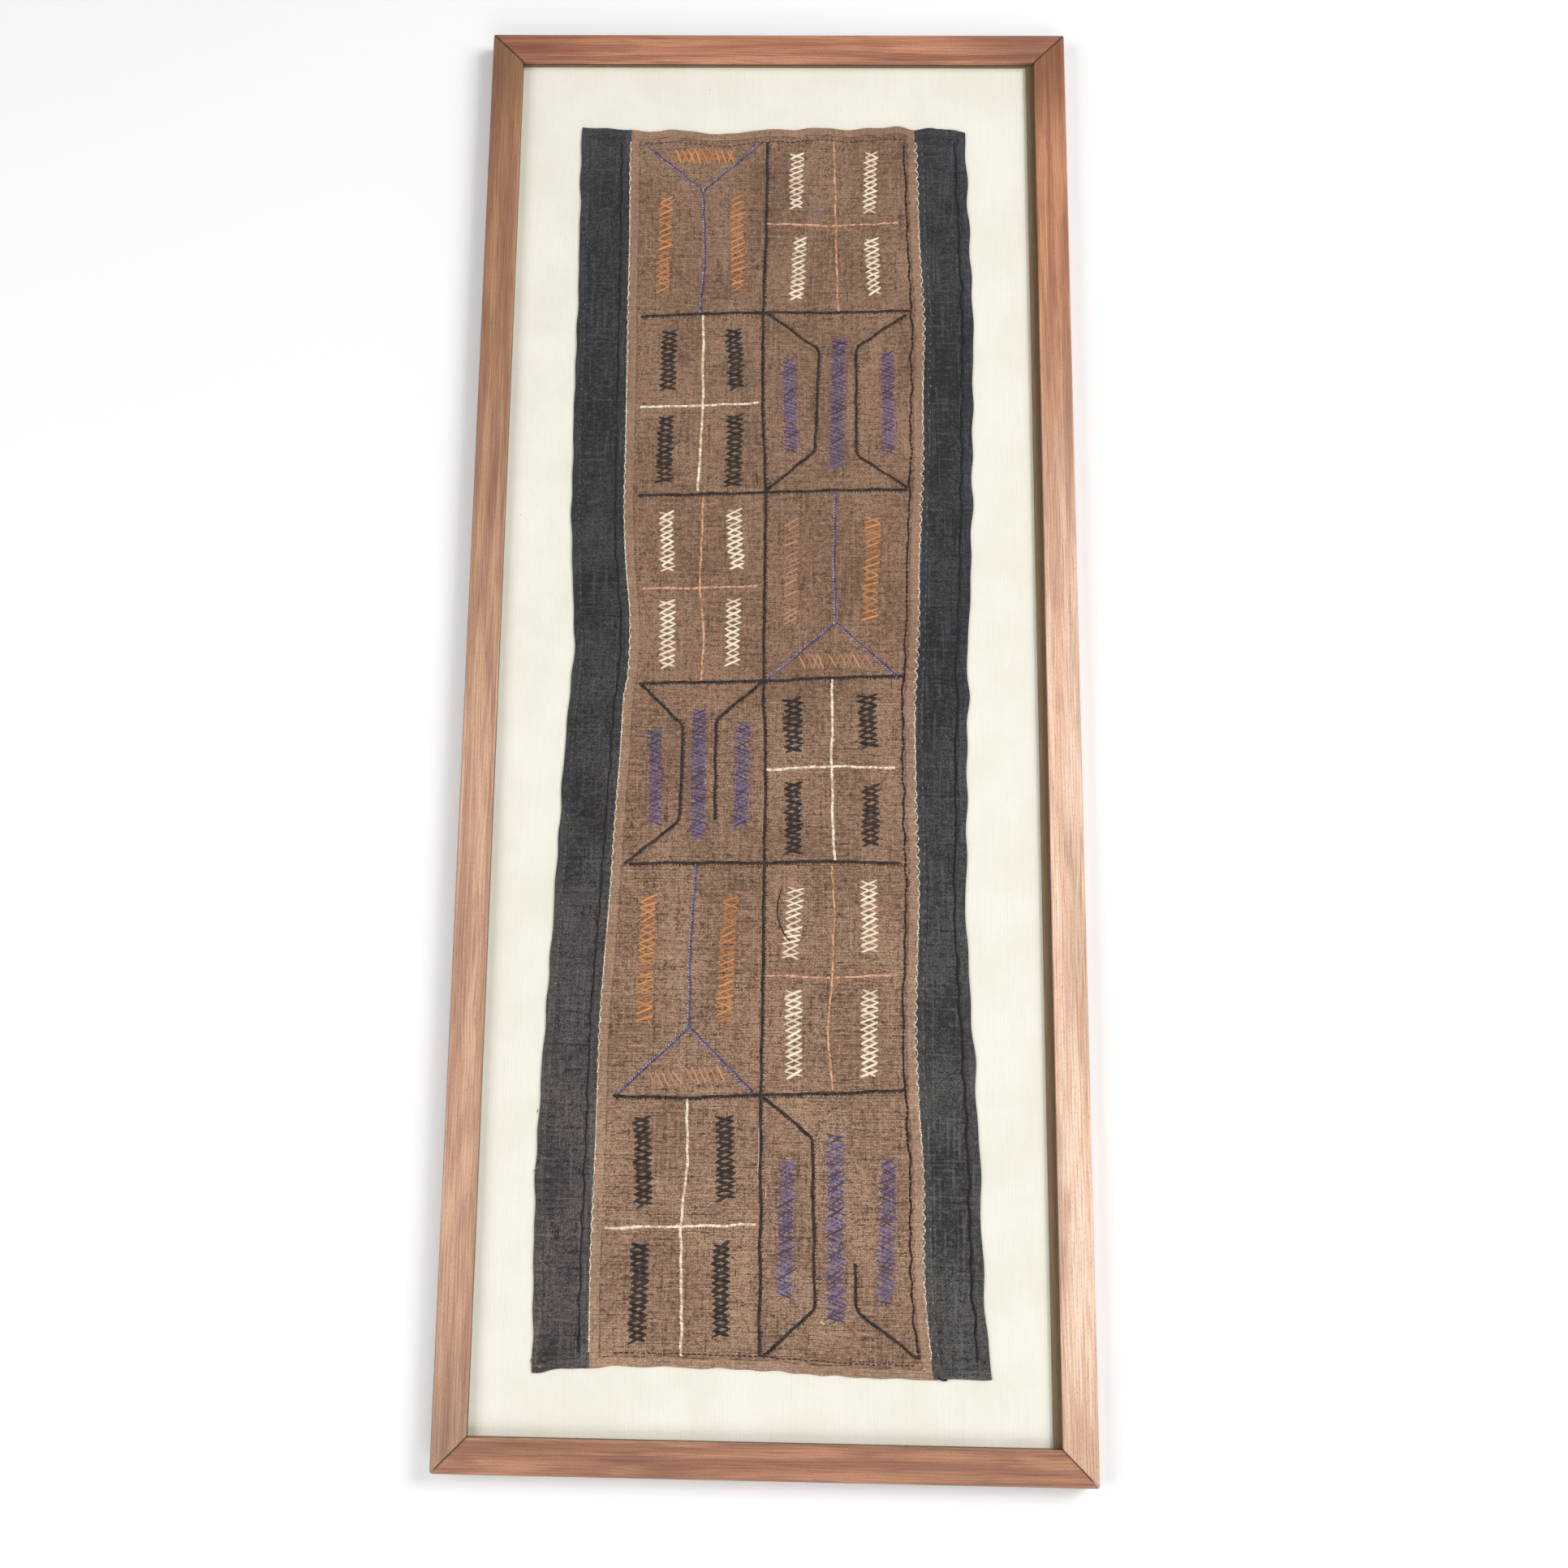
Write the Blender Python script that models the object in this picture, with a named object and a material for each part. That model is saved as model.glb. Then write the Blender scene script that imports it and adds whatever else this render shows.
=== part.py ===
"""Framed raffia cloth, lying on its back: a mitred wooden frame, a pane of glass, spacer strips,
a cloth-covered mount board and the sewn cloth itself, which is six flat lengths with turned hems.
Metres, +Z up. The glass faces up and the top of the picture points to +Y."""

import math
from collections import namedtuple

import bmesh
import bpy

# Frame: one rebated moulding, mitred at the four corners
FRAME_WIDTH = 0.480
FRAME_HEIGHT = 1.152
FRAME_DEPTH = 0.020
RAIL_FACE = 0.0255
LIP_WIDTH = 0.006
LIP_DEPTH = 0.0035
OUTER_ARRIS = 0.0013
INNER_ARRIS = 0.0004
ARRIS_STEPS = 3
CORNER_RADIUS = 0.0022

# What the frame holds, from the glass down
GAP = 0.0003
GLASS_THICKNESS = 0.002
SPACER_DEPTH = 0.003
RIGHT_SPACER_PROUD = 0.006
BOARD_THICKNESS = 0.008
BOARD_EDGE_RADIUS = 0.0008

# Cloth
CLOTH_THICKNESS = 0.0012
HEM_WIDTH = 0.008
HEM_SHOULDER = 0.0014
HEM_RAISE = 0.0004
SEAM_GAP = 0.0004
RIPPLE_HEIGHT = 0.00022
RIPPLE_LENGTH = 0.085
PANEL_CELLS = (17, 25)
BORDER_CELLS = (4, 21)

SIGHT_HALF_WIDTH = FRAME_WIDTH / 2 - RAIL_FACE
SIGHT_HALF_HEIGHT = FRAME_HEIGHT / 2 - RAIL_FACE
REBATE_HALF_WIDTH = SIGHT_HALF_WIDTH + LIP_WIDTH
REBATE_HALF_HEIGHT = SIGHT_HALF_HEIGHT + LIP_WIDTH
LIP_BOTTOM = FRAME_DEPTH - LIP_DEPTH
GLASS_TOP = LIP_BOTTOM - GAP
GLASS_BOTTOM = GLASS_TOP - GLASS_THICKNESS
SPACER_TOP = GLASS_BOTTOM - GAP
SPACER_BOTTOM = SPACER_TOP - SPACER_DEPTH
BOARD_TOP = SPACER_BOTTOM - GAP
BOARD_BOTTOM = BOARD_TOP - BOARD_THICKNESS
CLOTH_BOTTOM = BOARD_TOP + GAP

# The cloth's long edges and its two long seams, down the height of the picture
Level = namedtuple("Level", "height left_edge left_seam right_seam right_edge")
LEVELS = (
    Level(0.494, -0.1635, -0.1215, 0.1145, 0.1570),
    Level(0.460, -0.1635, -0.1215, 0.1160, 0.1580),
    Level(0.390, -0.1625, -0.1205, 0.1180, 0.1600),
    Level(0.318, -0.1620, -0.1200, 0.1210, 0.1620),
    Level(0.260, -0.1625, -0.1195, 0.1200, 0.1610),
    Level(0.205, -0.1620, -0.1190, 0.1195, 0.1600),
    Level(0.150, -0.1615, -0.1185, 0.1175, 0.1590),
    Level(0.108, -0.1595, -0.1160, 0.1160, 0.1575),
    Level(0.070, -0.1570, -0.1120, 0.1155, 0.1560),
    Level(0.022, -0.1560, -0.1120, 0.1130, 0.1535),
    Level(0.002, -0.1585, -0.1150, 0.1120, 0.1550),
    Level(-0.038, -0.1605, -0.1165, 0.1120, 0.1525),
    Level(-0.090, -0.1625, -0.1190, 0.1125, 0.1525),
    Level(-0.150, -0.1645, -0.1215, 0.1140, 0.1505),
    Level(-0.205, -0.1665, -0.1245, 0.1125, 0.1520),
    Level(-0.250, -0.1685, -0.1265, 0.1110, 0.1545),
    Level(-0.307, -0.1705, -0.1270, 0.1130, 0.1570),
    Level(-0.358, -0.1720, -0.1275, 0.1160, 0.1590),
    Level(-0.430, -0.1710, -0.1285, 0.1160, 0.1600),
    Level(-0.477, -0.1700, -0.1280, 0.1195, 0.1630),
    Level(-0.504, -0.1695, -0.1275, 0.1230, 0.1650),
)

# Lines that run across the cloth: its top and bottom edges and the joints between lengths
Across = namedtuple("Across", "x height")
TOP_EDGE = (
    Across(-0.1635, 0.4945),
    Across(-0.1410, 0.4930),
    Across(-0.1215, 0.4925),
    Across(-0.1070, 0.4900),
    Across(-0.0860, 0.4925),
    Across(-0.0660, 0.4900),
    Across(-0.0450, 0.4880),
    Across(-0.0280, 0.4905),
    Across(-0.0080, 0.4925),
    Across(0.0160, 0.4930),
    Across(0.0360, 0.4945),
    Across(0.0560, 0.4930),
    Across(0.0830, 0.4945),
    Across(0.1040, 0.4955),
    Across(0.1150, 0.4930),
    Across(0.1310, 0.4945),
    Across(0.1570, 0.4910),
)
BOTTOM_EDGE = (
    Across(-0.1695, -0.5055),
    Across(-0.1280, -0.5015),
    Across(-0.0950, -0.5000),
    Across(-0.0650, -0.5000),
    Across(-0.0010, -0.5010),
    Across(0.0340, -0.5030),
    Across(0.0700, -0.5045),
    Across(0.0990, -0.5050),
    Across(0.1230, -0.5050),
    Across(0.1650, -0.5040),
)
PANEL_JOINT = (
    Across(-0.1150, 0.0060),
    Across(-0.0570, 0.0010),
    Across(-0.0190, -0.0025),
    Across(0.0030, 0.0020),
    Across(0.0700, 0.0025),
    Across(0.1120, -0.0010),
)
LEFT_JOINT = (
    Across(-0.1575, 0.0685),
    Across(-0.1390, 0.0685),
    Across(-0.1120, 0.0670),
)
RIGHT_JOINT = (
    Across(0.1130, 0.0205),
    Across(0.1335, 0.0185),
    Across(0.1530, 0.0150),
)

# Soft folds that the stitching pulls up: centre, half length, half width, turn from +Y and height
Fold = namedtuple("Fold", "x y half_length half_width turn height")
FOLDS = (
    Fold(0.001, 0.094, 0.060, 0.011, -2.0, 0.0004),
    Fold(0.010, -0.166, 0.032, 0.012, 4.0, 0.0003),
    Fold(0.118, -0.480, 0.028, 0.012, 20.0, 0.0003),
    Fold(-0.050, 0.482, 0.014, 0.016, 80.0, 0.0003),
    Fold(-0.114, 0.062, 0.030, 0.014, 6.0, 0.0003),
)


def clear_scene():
    for item in list(bpy.data.objects):
        bpy.data.objects.remove(item, do_unlink=True)


def make_material(name, colour, roughness, transmission=0.0):
    material = bpy.data.materials.new(name)
    material.use_nodes = True
    shader = material.node_tree.nodes["Principled BSDF"]
    shader.inputs["Base Color"].default_value = (*colour, 1.0)
    shader.inputs["Roughness"].default_value = roughness
    shader.inputs["Metallic"].default_value = 0.0
    shader.inputs["Transmission Weight"].default_value = transmission
    return material


def object_from_bmesh(name, shape, material):
    mesh = bpy.data.meshes.new(name)
    shape.to_mesh(mesh)
    shape.free()
    mesh.materials.append(material)
    made = bpy.data.objects.new(name, mesh)
    bpy.context.scene.collection.objects.link(made)
    return made


def box(name, low, high, material):
    shape = bmesh.new()
    bmesh.ops.create_cube(shape, size=1.0)
    for vertex in shape.verts:
        for axis in range(3):
            middle = (low[axis] + high[axis]) / 2
            vertex.co[axis] = middle + vertex.co[axis] * (high[axis] - low[axis])
    bmesh.ops.recalc_face_normals(shape, faces=shape.faces[:])
    return object_from_bmesh(name, shape, material)


def moulding_profile():
    """The moulding's section as (distance in from the outer edge, height), once round."""
    points = [(0.0, 0.0), (RAIL_FACE - LIP_WIDTH, 0.0)]
    points.append((RAIL_FACE - LIP_WIDTH, LIP_BOTTOM))
    points.append((RAIL_FACE, LIP_BOTTOM))
    for step in range(ARRIS_STEPS + 1):
        angle = math.pi / 2 * step / ARRIS_STEPS
        inward = RAIL_FACE - INNER_ARRIS * (1 - math.cos(angle))
        points.append((inward, FRAME_DEPTH - INNER_ARRIS * (1 - math.sin(angle))))
    for step in range(ARRIS_STEPS + 1):
        angle = math.pi / 2 * step / ARRIS_STEPS
        inward = OUTER_ARRIS * (1 - math.sin(angle))
        points.append((inward, FRAME_DEPTH - OUTER_ARRIS * (1 - math.cos(angle))))
    return points


def rail_sections(length):
    """Four sections along a rail: mitre, just inside the rounded corner, and the same at the far end."""
    mitre_gap = GAP / 2 * math.sqrt(2)
    tip = CORNER_RADIUS * (1 - math.sqrt(0.5))
    near_mitre = []
    near_round = []
    for inward, height in moulding_profile():
        cut = max(inward, tip)
        near_mitre.append((cut, height, -length / 2 + cut + mitre_gap))
        near_round.append((inward, height, -length / 2 + inward + CORNER_RADIUS))
    far_round = [(inward, height, -along) for inward, height, along in near_round]
    far_mitre = [(inward, height, -along) for inward, height, along in near_mitre]
    return [near_mitre, near_round, far_round, far_mitre]


def rail(name, length, outer_offset, turn, material):
    """A mitred rail: its outer edge lies outer_offset from the centre, towards the direction turn."""
    shape = bmesh.new()
    rings = []
    for section in rail_sections(length):
        ring = [shape.verts.new((along, outer_offset - inward, height)) for inward, height, along in section]
        rings.append(ring)
    shape.faces.new(rings[0])
    shape.faces.new(rings[-1])
    for near, far in zip(rings, rings[1:]):
        for index in range(len(near)):
            after = (index + 1) % len(near)
            shape.faces.new((near[index], near[after], far[after], far[index]))
    bmesh.ops.recalc_face_normals(shape, faces=shape.faces[:])
    made = object_from_bmesh(name, shape, material)
    made.rotation_euler = (0.0, 0.0, turn)
    made.data.shade_smooth()
    made.data.set_sharp_from_angle(angle=math.radians(35))
    return made


def build_frame():
    wood = ((0.42, 0.21, 0.13), 0.45)
    sides = (
        ("rail_top", FRAME_WIDTH, FRAME_HEIGHT / 2, 0.0),
        ("rail_bottom", FRAME_WIDTH, FRAME_HEIGHT / 2, math.pi),
        ("rail_left", FRAME_HEIGHT, FRAME_WIDTH / 2, math.pi / 2),
        ("rail_right", FRAME_HEIGHT, FRAME_WIDTH / 2, -math.pi / 2),
    )
    for name, length, offset, turn in sides:
        rail(name, length, offset, turn, make_material(name, *wood))


def build_glass():
    reach_x = REBATE_HALF_WIDTH - GAP
    reach_y = REBATE_HALF_HEIGHT - GAP
    glass = make_material("glass_pane", (0.95, 0.97, 0.96), 0.02, transmission=1.0)
    box("glass_pane", (-reach_x, -reach_y, GLASS_BOTTOM), (reach_x, reach_y, GLASS_TOP), glass)


def build_spacers():
    """Four strips that hold the glass off the cloth. The right one stands in from the frame's lip."""
    reach_x = REBATE_HALF_WIDTH - GAP
    reach_y = REBATE_HALF_HEIGHT - GAP
    side_reach = SIGHT_HALF_HEIGHT - GAP
    right_inner = SIGHT_HALF_WIDTH - RIGHT_SPACER_PROUD
    strips = (
        ("spacer_top", -reach_x, reach_x, SIGHT_HALF_HEIGHT, reach_y),
        ("spacer_bottom", -reach_x, reach_x, -reach_y, -SIGHT_HALF_HEIGHT),
        ("spacer_left", -reach_x, -SIGHT_HALF_WIDTH, -side_reach, side_reach),
        ("spacer_right", right_inner, reach_x, -side_reach, side_reach),
    )
    for name, x0, x1, y0, y1 in strips:
        taupe = make_material(name, (0.21, 0.17, 0.12), 0.7)
        box(name, (x0, y0, SPACER_BOTTOM), (x1, y1, SPACER_TOP), taupe)


def build_mount_board():
    reach_x = REBATE_HALF_WIDTH - GAP
    reach_y = REBATE_HALF_HEIGHT - GAP
    cream = make_material("mount_board", (0.86, 0.85, 0.76), 0.85)
    low = (-reach_x, -reach_y, BOARD_BOTTOM)
    high = (reach_x, reach_y, BOARD_TOP)
    board = box("mount_board", low, high, cream)
    rounding = board.modifiers.new("wrapped_edges", "BEVEL")
    rounding.width = BOARD_EDGE_RADIUS
    rounding.segments = 2


def curve_through(points):
    """A smooth function through (position, value) pairs: cubic pieces whose slopes follow their neighbours."""
    points = sorted(points)

    def slope(index):
        low = max(index - 1, 0)
        high = min(index + 1, len(points) - 1)
        return (points[high][1] - points[low][1]) / (points[high][0] - points[low][0])

    def value(position):
        position = min(max(position, points[0][0]), points[-1][0])
        index = 0
        while index < len(points) - 2 and position > points[index + 1][0]:
            index += 1
        (p0, v0), (p1, v1) = points[index], points[index + 1]
        span = p1 - p0
        t = (position - p0) / span
        rise = v0 * (2 * t**3 - 3 * t**2 + 1) + v1 * (3 * t**2 - 2 * t**3)
        lean = slope(index) * (t**3 - 2 * t**2 + t) + slope(index + 1) * (t**3 - t**2)
        return rise + lean * span

    return value


def smooth_step(value):
    value = min(max(value, 0.0), 1.0)
    return value * value * (3 - 2 * value)


def spread(low, high, cells):
    """Coordinates from low to high: each edge, each hem's shoulder, and even cells between the hems."""
    inner_low = low + HEM_WIDTH
    inner_high = high - HEM_WIDTH
    places = [low, inner_low - HEM_SHOULDER, inner_low]
    places += [inner_low + (inner_high - inner_low) * step / cells for step in range(1, cells)]
    places += [inner_high, inner_high + HEM_SHOULDER, high]
    return places


def fold_height(fold, x, y):
    turn = math.radians(fold.turn)
    along = (y - fold.y) * math.cos(turn) + (x - fold.x) * math.sin(turn)
    aside = (x - fold.x) * math.cos(turn) - (y - fold.y) * math.sin(turn)
    fade = smooth_step(1 - abs(along) / fold.half_length)
    return fold.height * fade * smooth_step(1 - abs(aside) / fold.half_width)


def ripple(x, y):
    """The slow unevenness of hand-woven cloth that lies flat, never below the board."""
    wave = math.sin(2 * math.pi * x / RIPPLE_LENGTH + 9 * y) + math.sin(2 * math.pi * y / RIPPLE_LENGTH - 7 * x)
    return RIPPLE_HEIGHT * (2 + wave) / 4


def cloth_height(x, y, from_edge):
    height = CLOTH_BOTTOM + ripple(x, y) + sum(fold_height(fold, x, y) for fold in FOLDS)
    return height + HEM_RAISE * smooth_step((HEM_WIDTH - from_edge) / HEM_SHOULDER)


def cloth_sheet(name, left, right, bottom, top, cells, material):
    """A flat length of cloth between four curves, with its hems raised, as a closed thin solid."""
    columns, rows = cells
    hem_lines = len(spread(0.0, 1.0, 1))
    shape = bmesh.new()
    grid = []
    for row in range(rows - 1 + hem_lines):
        line = []
        for column in range(columns - 1 + hem_lines):
            x = 0.0
            y = 0.0
            for _ in range(3):
                y = spread(bottom(x), top(x), rows)[row]
                x = spread(left(y), right(y), columns)[column]
            from_edge = min(x - left(y), right(y) - x, y - bottom(x), top(x) - y)
            line.append(shape.verts.new((x, y, cloth_height(x, y, from_edge))))
        grid.append(line)
    for low, high in zip(grid, grid[1:]):
        for column in range(len(low) - 1):
            shape.faces.new((low[column], low[column + 1], high[column + 1], high[column]))
    made = object_from_bmesh(name, shape, material)
    sheet = made.modifiers.new("sheet", "SOLIDIFY")
    sheet.thickness = CLOTH_THICKNESS
    sheet.offset = 1.0
    made.data.shade_smooth()
    return made


def shifted(curve, distance):
    return lambda position: curve(position) + distance


def build_cloth():
    left_edge = curve_through([(level.height, level.left_edge) for level in LEVELS])
    left_seam = curve_through([(level.height, level.left_seam) for level in LEVELS])
    right_seam = curve_through([(level.height, level.right_seam) for level in LEVELS])
    right_edge = curve_through([(level.height, level.right_edge) for level in LEVELS])
    top = curve_through(TOP_EDGE)
    bottom = curve_through(BOTTOM_EDGE)
    half = SEAM_GAP / 2
    brown = ((0.21, 0.13, 0.085), 0.85)
    dark = ((0.035, 0.036, 0.042), 0.85)
    bands = (
        ("panel", left_seam, right_seam, PANEL_JOINT, PANEL_CELLS, brown),
        ("border_left", left_edge, left_seam, LEFT_JOINT, BORDER_CELLS, dark),
        ("border_right", right_seam, right_edge, RIGHT_JOINT, BORDER_CELLS, dark),
    )
    for name, left, right, joint_points, cells, look in bands:
        joint = curve_through(joint_points)
        lengths = (("upper", shifted(joint, half), top), ("lower", bottom, shifted(joint, -half)))
        for part, low, high in lengths:
            node = name + "_" + part
            material = make_material(node, *look)
            cloth_sheet(node, shifted(left, half), shifted(right, -half), low, high, cells, material)


def main():
    clear_scene()
    build_frame()
    build_glass()
    build_spacers()
    build_mount_board()
    build_cloth()


main()
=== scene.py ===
# %% [markdown]
# A framed raffia cloth, dressed for its picture.
#
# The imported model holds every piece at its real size: four wooden rails, a pane of glass, four spacer
# strips, a cream mount and six thin lengths of cloth. This lesson keeps the hard pieces and gives them
# their finishes. It then lays finer sheets where the plain lengths of cloth are, and sews on the
# embroidery stitch by stitch, as the maker did.

# %% Load the fixed frame
import math
from collections import namedtuple

import bpy
import numpy as np
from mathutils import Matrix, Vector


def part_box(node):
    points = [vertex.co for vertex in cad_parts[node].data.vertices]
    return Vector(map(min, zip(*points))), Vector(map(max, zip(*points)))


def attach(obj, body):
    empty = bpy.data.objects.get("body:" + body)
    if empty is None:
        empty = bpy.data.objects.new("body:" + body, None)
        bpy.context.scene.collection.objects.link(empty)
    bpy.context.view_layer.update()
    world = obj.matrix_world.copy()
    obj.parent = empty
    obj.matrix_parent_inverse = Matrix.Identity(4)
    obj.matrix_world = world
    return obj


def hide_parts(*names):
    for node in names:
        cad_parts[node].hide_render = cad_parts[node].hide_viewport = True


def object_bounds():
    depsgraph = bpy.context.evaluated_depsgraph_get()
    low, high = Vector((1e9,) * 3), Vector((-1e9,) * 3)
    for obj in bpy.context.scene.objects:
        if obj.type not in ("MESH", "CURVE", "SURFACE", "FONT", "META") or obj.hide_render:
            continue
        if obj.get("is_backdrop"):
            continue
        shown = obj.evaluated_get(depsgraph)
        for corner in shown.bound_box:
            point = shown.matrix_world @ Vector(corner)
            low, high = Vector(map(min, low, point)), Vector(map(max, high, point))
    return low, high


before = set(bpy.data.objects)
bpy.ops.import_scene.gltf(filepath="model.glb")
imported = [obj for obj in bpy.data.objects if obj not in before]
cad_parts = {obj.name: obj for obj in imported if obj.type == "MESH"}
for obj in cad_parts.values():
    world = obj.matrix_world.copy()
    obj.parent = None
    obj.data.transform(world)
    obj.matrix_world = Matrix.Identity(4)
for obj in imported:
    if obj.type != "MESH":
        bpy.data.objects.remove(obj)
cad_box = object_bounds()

MM = 0.001
half_width, half_height = cad_box[1][:2]
board_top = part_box("mount_board")[1].z
glass_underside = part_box("glass_pane")[0].z
rail_face = half_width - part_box("rail_right")[0].x
frame_size = [round(size / MM, 1) for size in cad_box[1] - cad_box[0]]
print("frame", frame_size, "mm, rail face", round(rail_face / MM, 1))

# %% [markdown]
# The camera comes first, because everything is judged through it. The picture was taken by hand from
# above, a little below the middle of the frame, so the camera leans eleven degrees and the frame
# widens towards its foot. The lens is a plain 40 mm, and the small shift keeps the frame where it
# stands in the picture, left of the middle.

# %% Camera
CAMERA_PLACE = (-0.0163, -0.3266, 1.3378)
CAMERA_TURN = (11.12, 1.25, 0.98)
LENS = 39.95
SHIFT_X = 0.0497

bpy.ops.object.select_all(action="DESELECT")
bpy.ops.object.camera_add(location=CAMERA_PLACE, rotation=[math.radians(angle) for angle in CAMERA_TURN])
camera = bpy.context.object
camera.name = "camera"
camera.data.lens = LENS
camera.data.shift_x = SHIFT_X
camera.data.clip_start = 0.01
bpy.context.scene.camera = camera
bpy.context.scene.view_settings.view_transform = "Standard"
print("camera", round(camera.location.length, 3), "m from the origin")

# %% [markdown]
# Light for something behind glass is a puzzle: any lamp above it shows in the pane. Soft panels stand
# out to the sides instead, where their mirror image misses the camera, and a pale sky fills in. The
# sky is bright low down and dim overhead, because the glass mirrors what is overhead and a bright
# patch there would lie over the dark cloth as haze. The right panel is the strongest, so the cloth's
# edge drops its soft shadow to the left.

# %% Lights, sky and floor
Lamp = namedtuple("Lamp", "place aim size power")
LAMPS = (
    Lamp((1.90, 0.80, 2.10), (0.0, 0.10, 0.0), 1.4, 61.0),
    Lamp((-1.90, -0.30, 2.10), (0.0, -0.10, 0.0), 1.6, 38.0),
    Lamp((0.35, -2.10, 1.90), (0.0, -0.20, 0.0), 1.4, 26.0),
)
SKY = (0.98, 0.99, 1.0)
SKY_LOW, SKY_HIGH = 0.80, 0.09
SKY_TURNS_AT = 0.70
FLOOR_SIZE = 5.0
FLOOR_DROP = 0.0004


def aim(thing, target):
    """Turns a lamp so that it shines at the target."""
    ray = thing.location.copy()
    ray.negate()
    ray += type(ray)(target)
    thing.rotation_euler = ray.to_track_quat("-Z", "Y").to_euler()


for number, lamp in enumerate(LAMPS, 1):
    bpy.ops.object.light_add(type="AREA", location=lamp.place)
    panel = bpy.context.object
    panel.name = f"soft_panel_{number}"
    panel.data.size = lamp.size
    panel.data.energy = lamp.power
    aim(panel, lamp.aim)

world = bpy.data.worlds.new("pale_sky")
world.use_nodes = True
backdrop = world.node_tree.nodes["Background"]
backdrop.inputs["Color"].default_value = (*SKY, 1.0)
ray = world.node_tree.nodes.new("ShaderNodeTexCoord")
split = world.node_tree.nodes.new("ShaderNodeSeparateXYZ")
fall = world.node_tree.nodes.new("ShaderNodeMapRange")
fall.interpolation_type = "SMOOTHSTEP"
sky_range = (("From Min", 0.0), ("From Max", SKY_TURNS_AT), ("To Min", SKY_LOW), ("To Max", SKY_HIGH))
for name, value in sky_range:
    fall.inputs[name].default_value = value
world.node_tree.links.new(ray.outputs["Generated"], split.inputs[0])
world.node_tree.links.new(split.outputs["Z"], fall.inputs["Value"])
world.node_tree.links.new(fall.outputs["Result"], backdrop.inputs["Strength"])
bpy.context.scene.world = world

bpy.ops.object.select_all(action="DESELECT")
bpy.ops.mesh.primitive_plane_add(size=FLOOR_SIZE, location=(0, 0, -FLOOR_DROP))
floor = bpy.context.object
floor.name = "floor"
floor_paint = bpy.data.materials.new("pale_floor")
floor_paint.use_nodes = True
floor_paint.node_tree.nodes["Principled BSDF"].inputs["Base Color"].default_value = (0.9, 0.9, 0.9, 1.0)
floor_paint.node_tree.nodes["Principled BSDF"].inputs["Roughness"].default_value = 0.8
floor.data.materials.append(floor_paint)
floor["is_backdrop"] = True
print(len(LAMPS), "soft panels over a pale floor")

# %% [markdown]
# Every finish here is made of nodes, and a few small helpers keep the node code readable. One adds a
# node and fills or links its sockets. The others are the sums that come up again and again: a plain
# calculation, a soft step, a mix of two colours and a noise that is stretched along one direction.

# %% Node helpers
def put(tree, kind, settings=None, inputs=None):
    """Adds a node; settings are its properties, inputs fill or link its sockets by name or number."""
    made = tree.nodes.new("ShaderNode" + kind)
    for key, value in (settings or {}).items():
        setattr(made, key, value)
    for key, value in (inputs or {}).items():
        if isinstance(value, bpy.types.NodeSocket):
            tree.links.new(value, made.inputs[key])
        else:
            made.inputs[key].default_value = value
    return made


def maths(tree, operation, first, second=0.0):
    return put(tree, "Math", {"operation": operation}, {0: first, 1: second}).outputs[0]


def soft_step(tree, value, start, end):
    """0 before start, 1 after end, and a smooth rise between them; start may be the larger."""
    sockets = {"Value": value, "From Min": start, "From Max": end}
    return put(tree, "MapRange", {"interpolation_type": "SMOOTHSTEP"}, sockets).outputs["Result"]


def soft_share(tree, value, start, end, amount):
    """A soft step that rises to an amount instead of 1."""
    return maths(tree, "MULTIPLY", soft_step(tree, value, start, end), amount)


def mix(tree, share, first, second):
    return put(tree, "Mix", {"data_type": "RGBA"}, {0: share, 6: first, 7: second}).outputs[2]


def stretched_noise(tree, vector, per_metre, detail=2.0, distortion=0.0):
    """Noise with its own number of waves per metre along X, Y and Z."""
    scaled = put(tree, "VectorMath", {"operation": "MULTIPLY"}, {0: vector, 1: per_metre})
    sockets = {"Vector": scaled.outputs[0], "Scale": 1.0, "Detail": detail, "Distortion": distortion}
    return put(tree, "TexNoise", {}, sockets).outputs[0]


def paint(hex_colour):
    """A colour written as six hex digits, in the linear values that sockets hold."""
    values = [int(hex_colour[start:start + 2], 16) / 255 for start in (0, 2, 4)]
    return tuple(((value + 0.055) / 1.055) ** 2.4 for value in values) + (1.0,)


def new_group(name, takes, gives):
    """An empty node group with its input and output sockets."""
    group = bpy.data.node_groups.new(name, "ShaderNodeTree")
    for title, kind in takes:
        group.interface.new_socket(title, in_out="INPUT", socket_type="NodeSocket" + kind)
    for title, kind in gives:
        group.interface.new_socket(title, in_out="OUTPUT", socket_type="NodeSocket" + kind)
    return group, group.nodes.new("NodeGroupInput").outputs, group.nodes.new("NodeGroupOutput").inputs


def new_material(name, roughness):
    material = bpy.data.materials.new(name)
    material.use_nodes = True
    tree = material.node_tree
    shader = tree.nodes["Principled BSDF"]
    shader.inputs["Roughness"].default_value = roughness
    place = put(tree, "TexCoord").outputs["Object"]
    return material, tree, shader, place


def dress(node, material):
    """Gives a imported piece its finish; its mesh stays as it is."""
    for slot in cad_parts[node].material_slots:
        slot.material = material


print("node helpers ready")

# %% [markdown]
# The rails are softwood under a reddish brown stain and a satin varnish. Softwood shows streaks that
# run with the rail, growth lines that wander, and fine fibre. One group makes all of that from
# coordinates whose X runs along the rail. A second group knows where the mitres and the outer arris
# are, because stain gathers in the joint and wears off the edge.

# %% Wood groups
GROWTH_LINES_PER_METRE = 430.0
WANDER = 3.4

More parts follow.
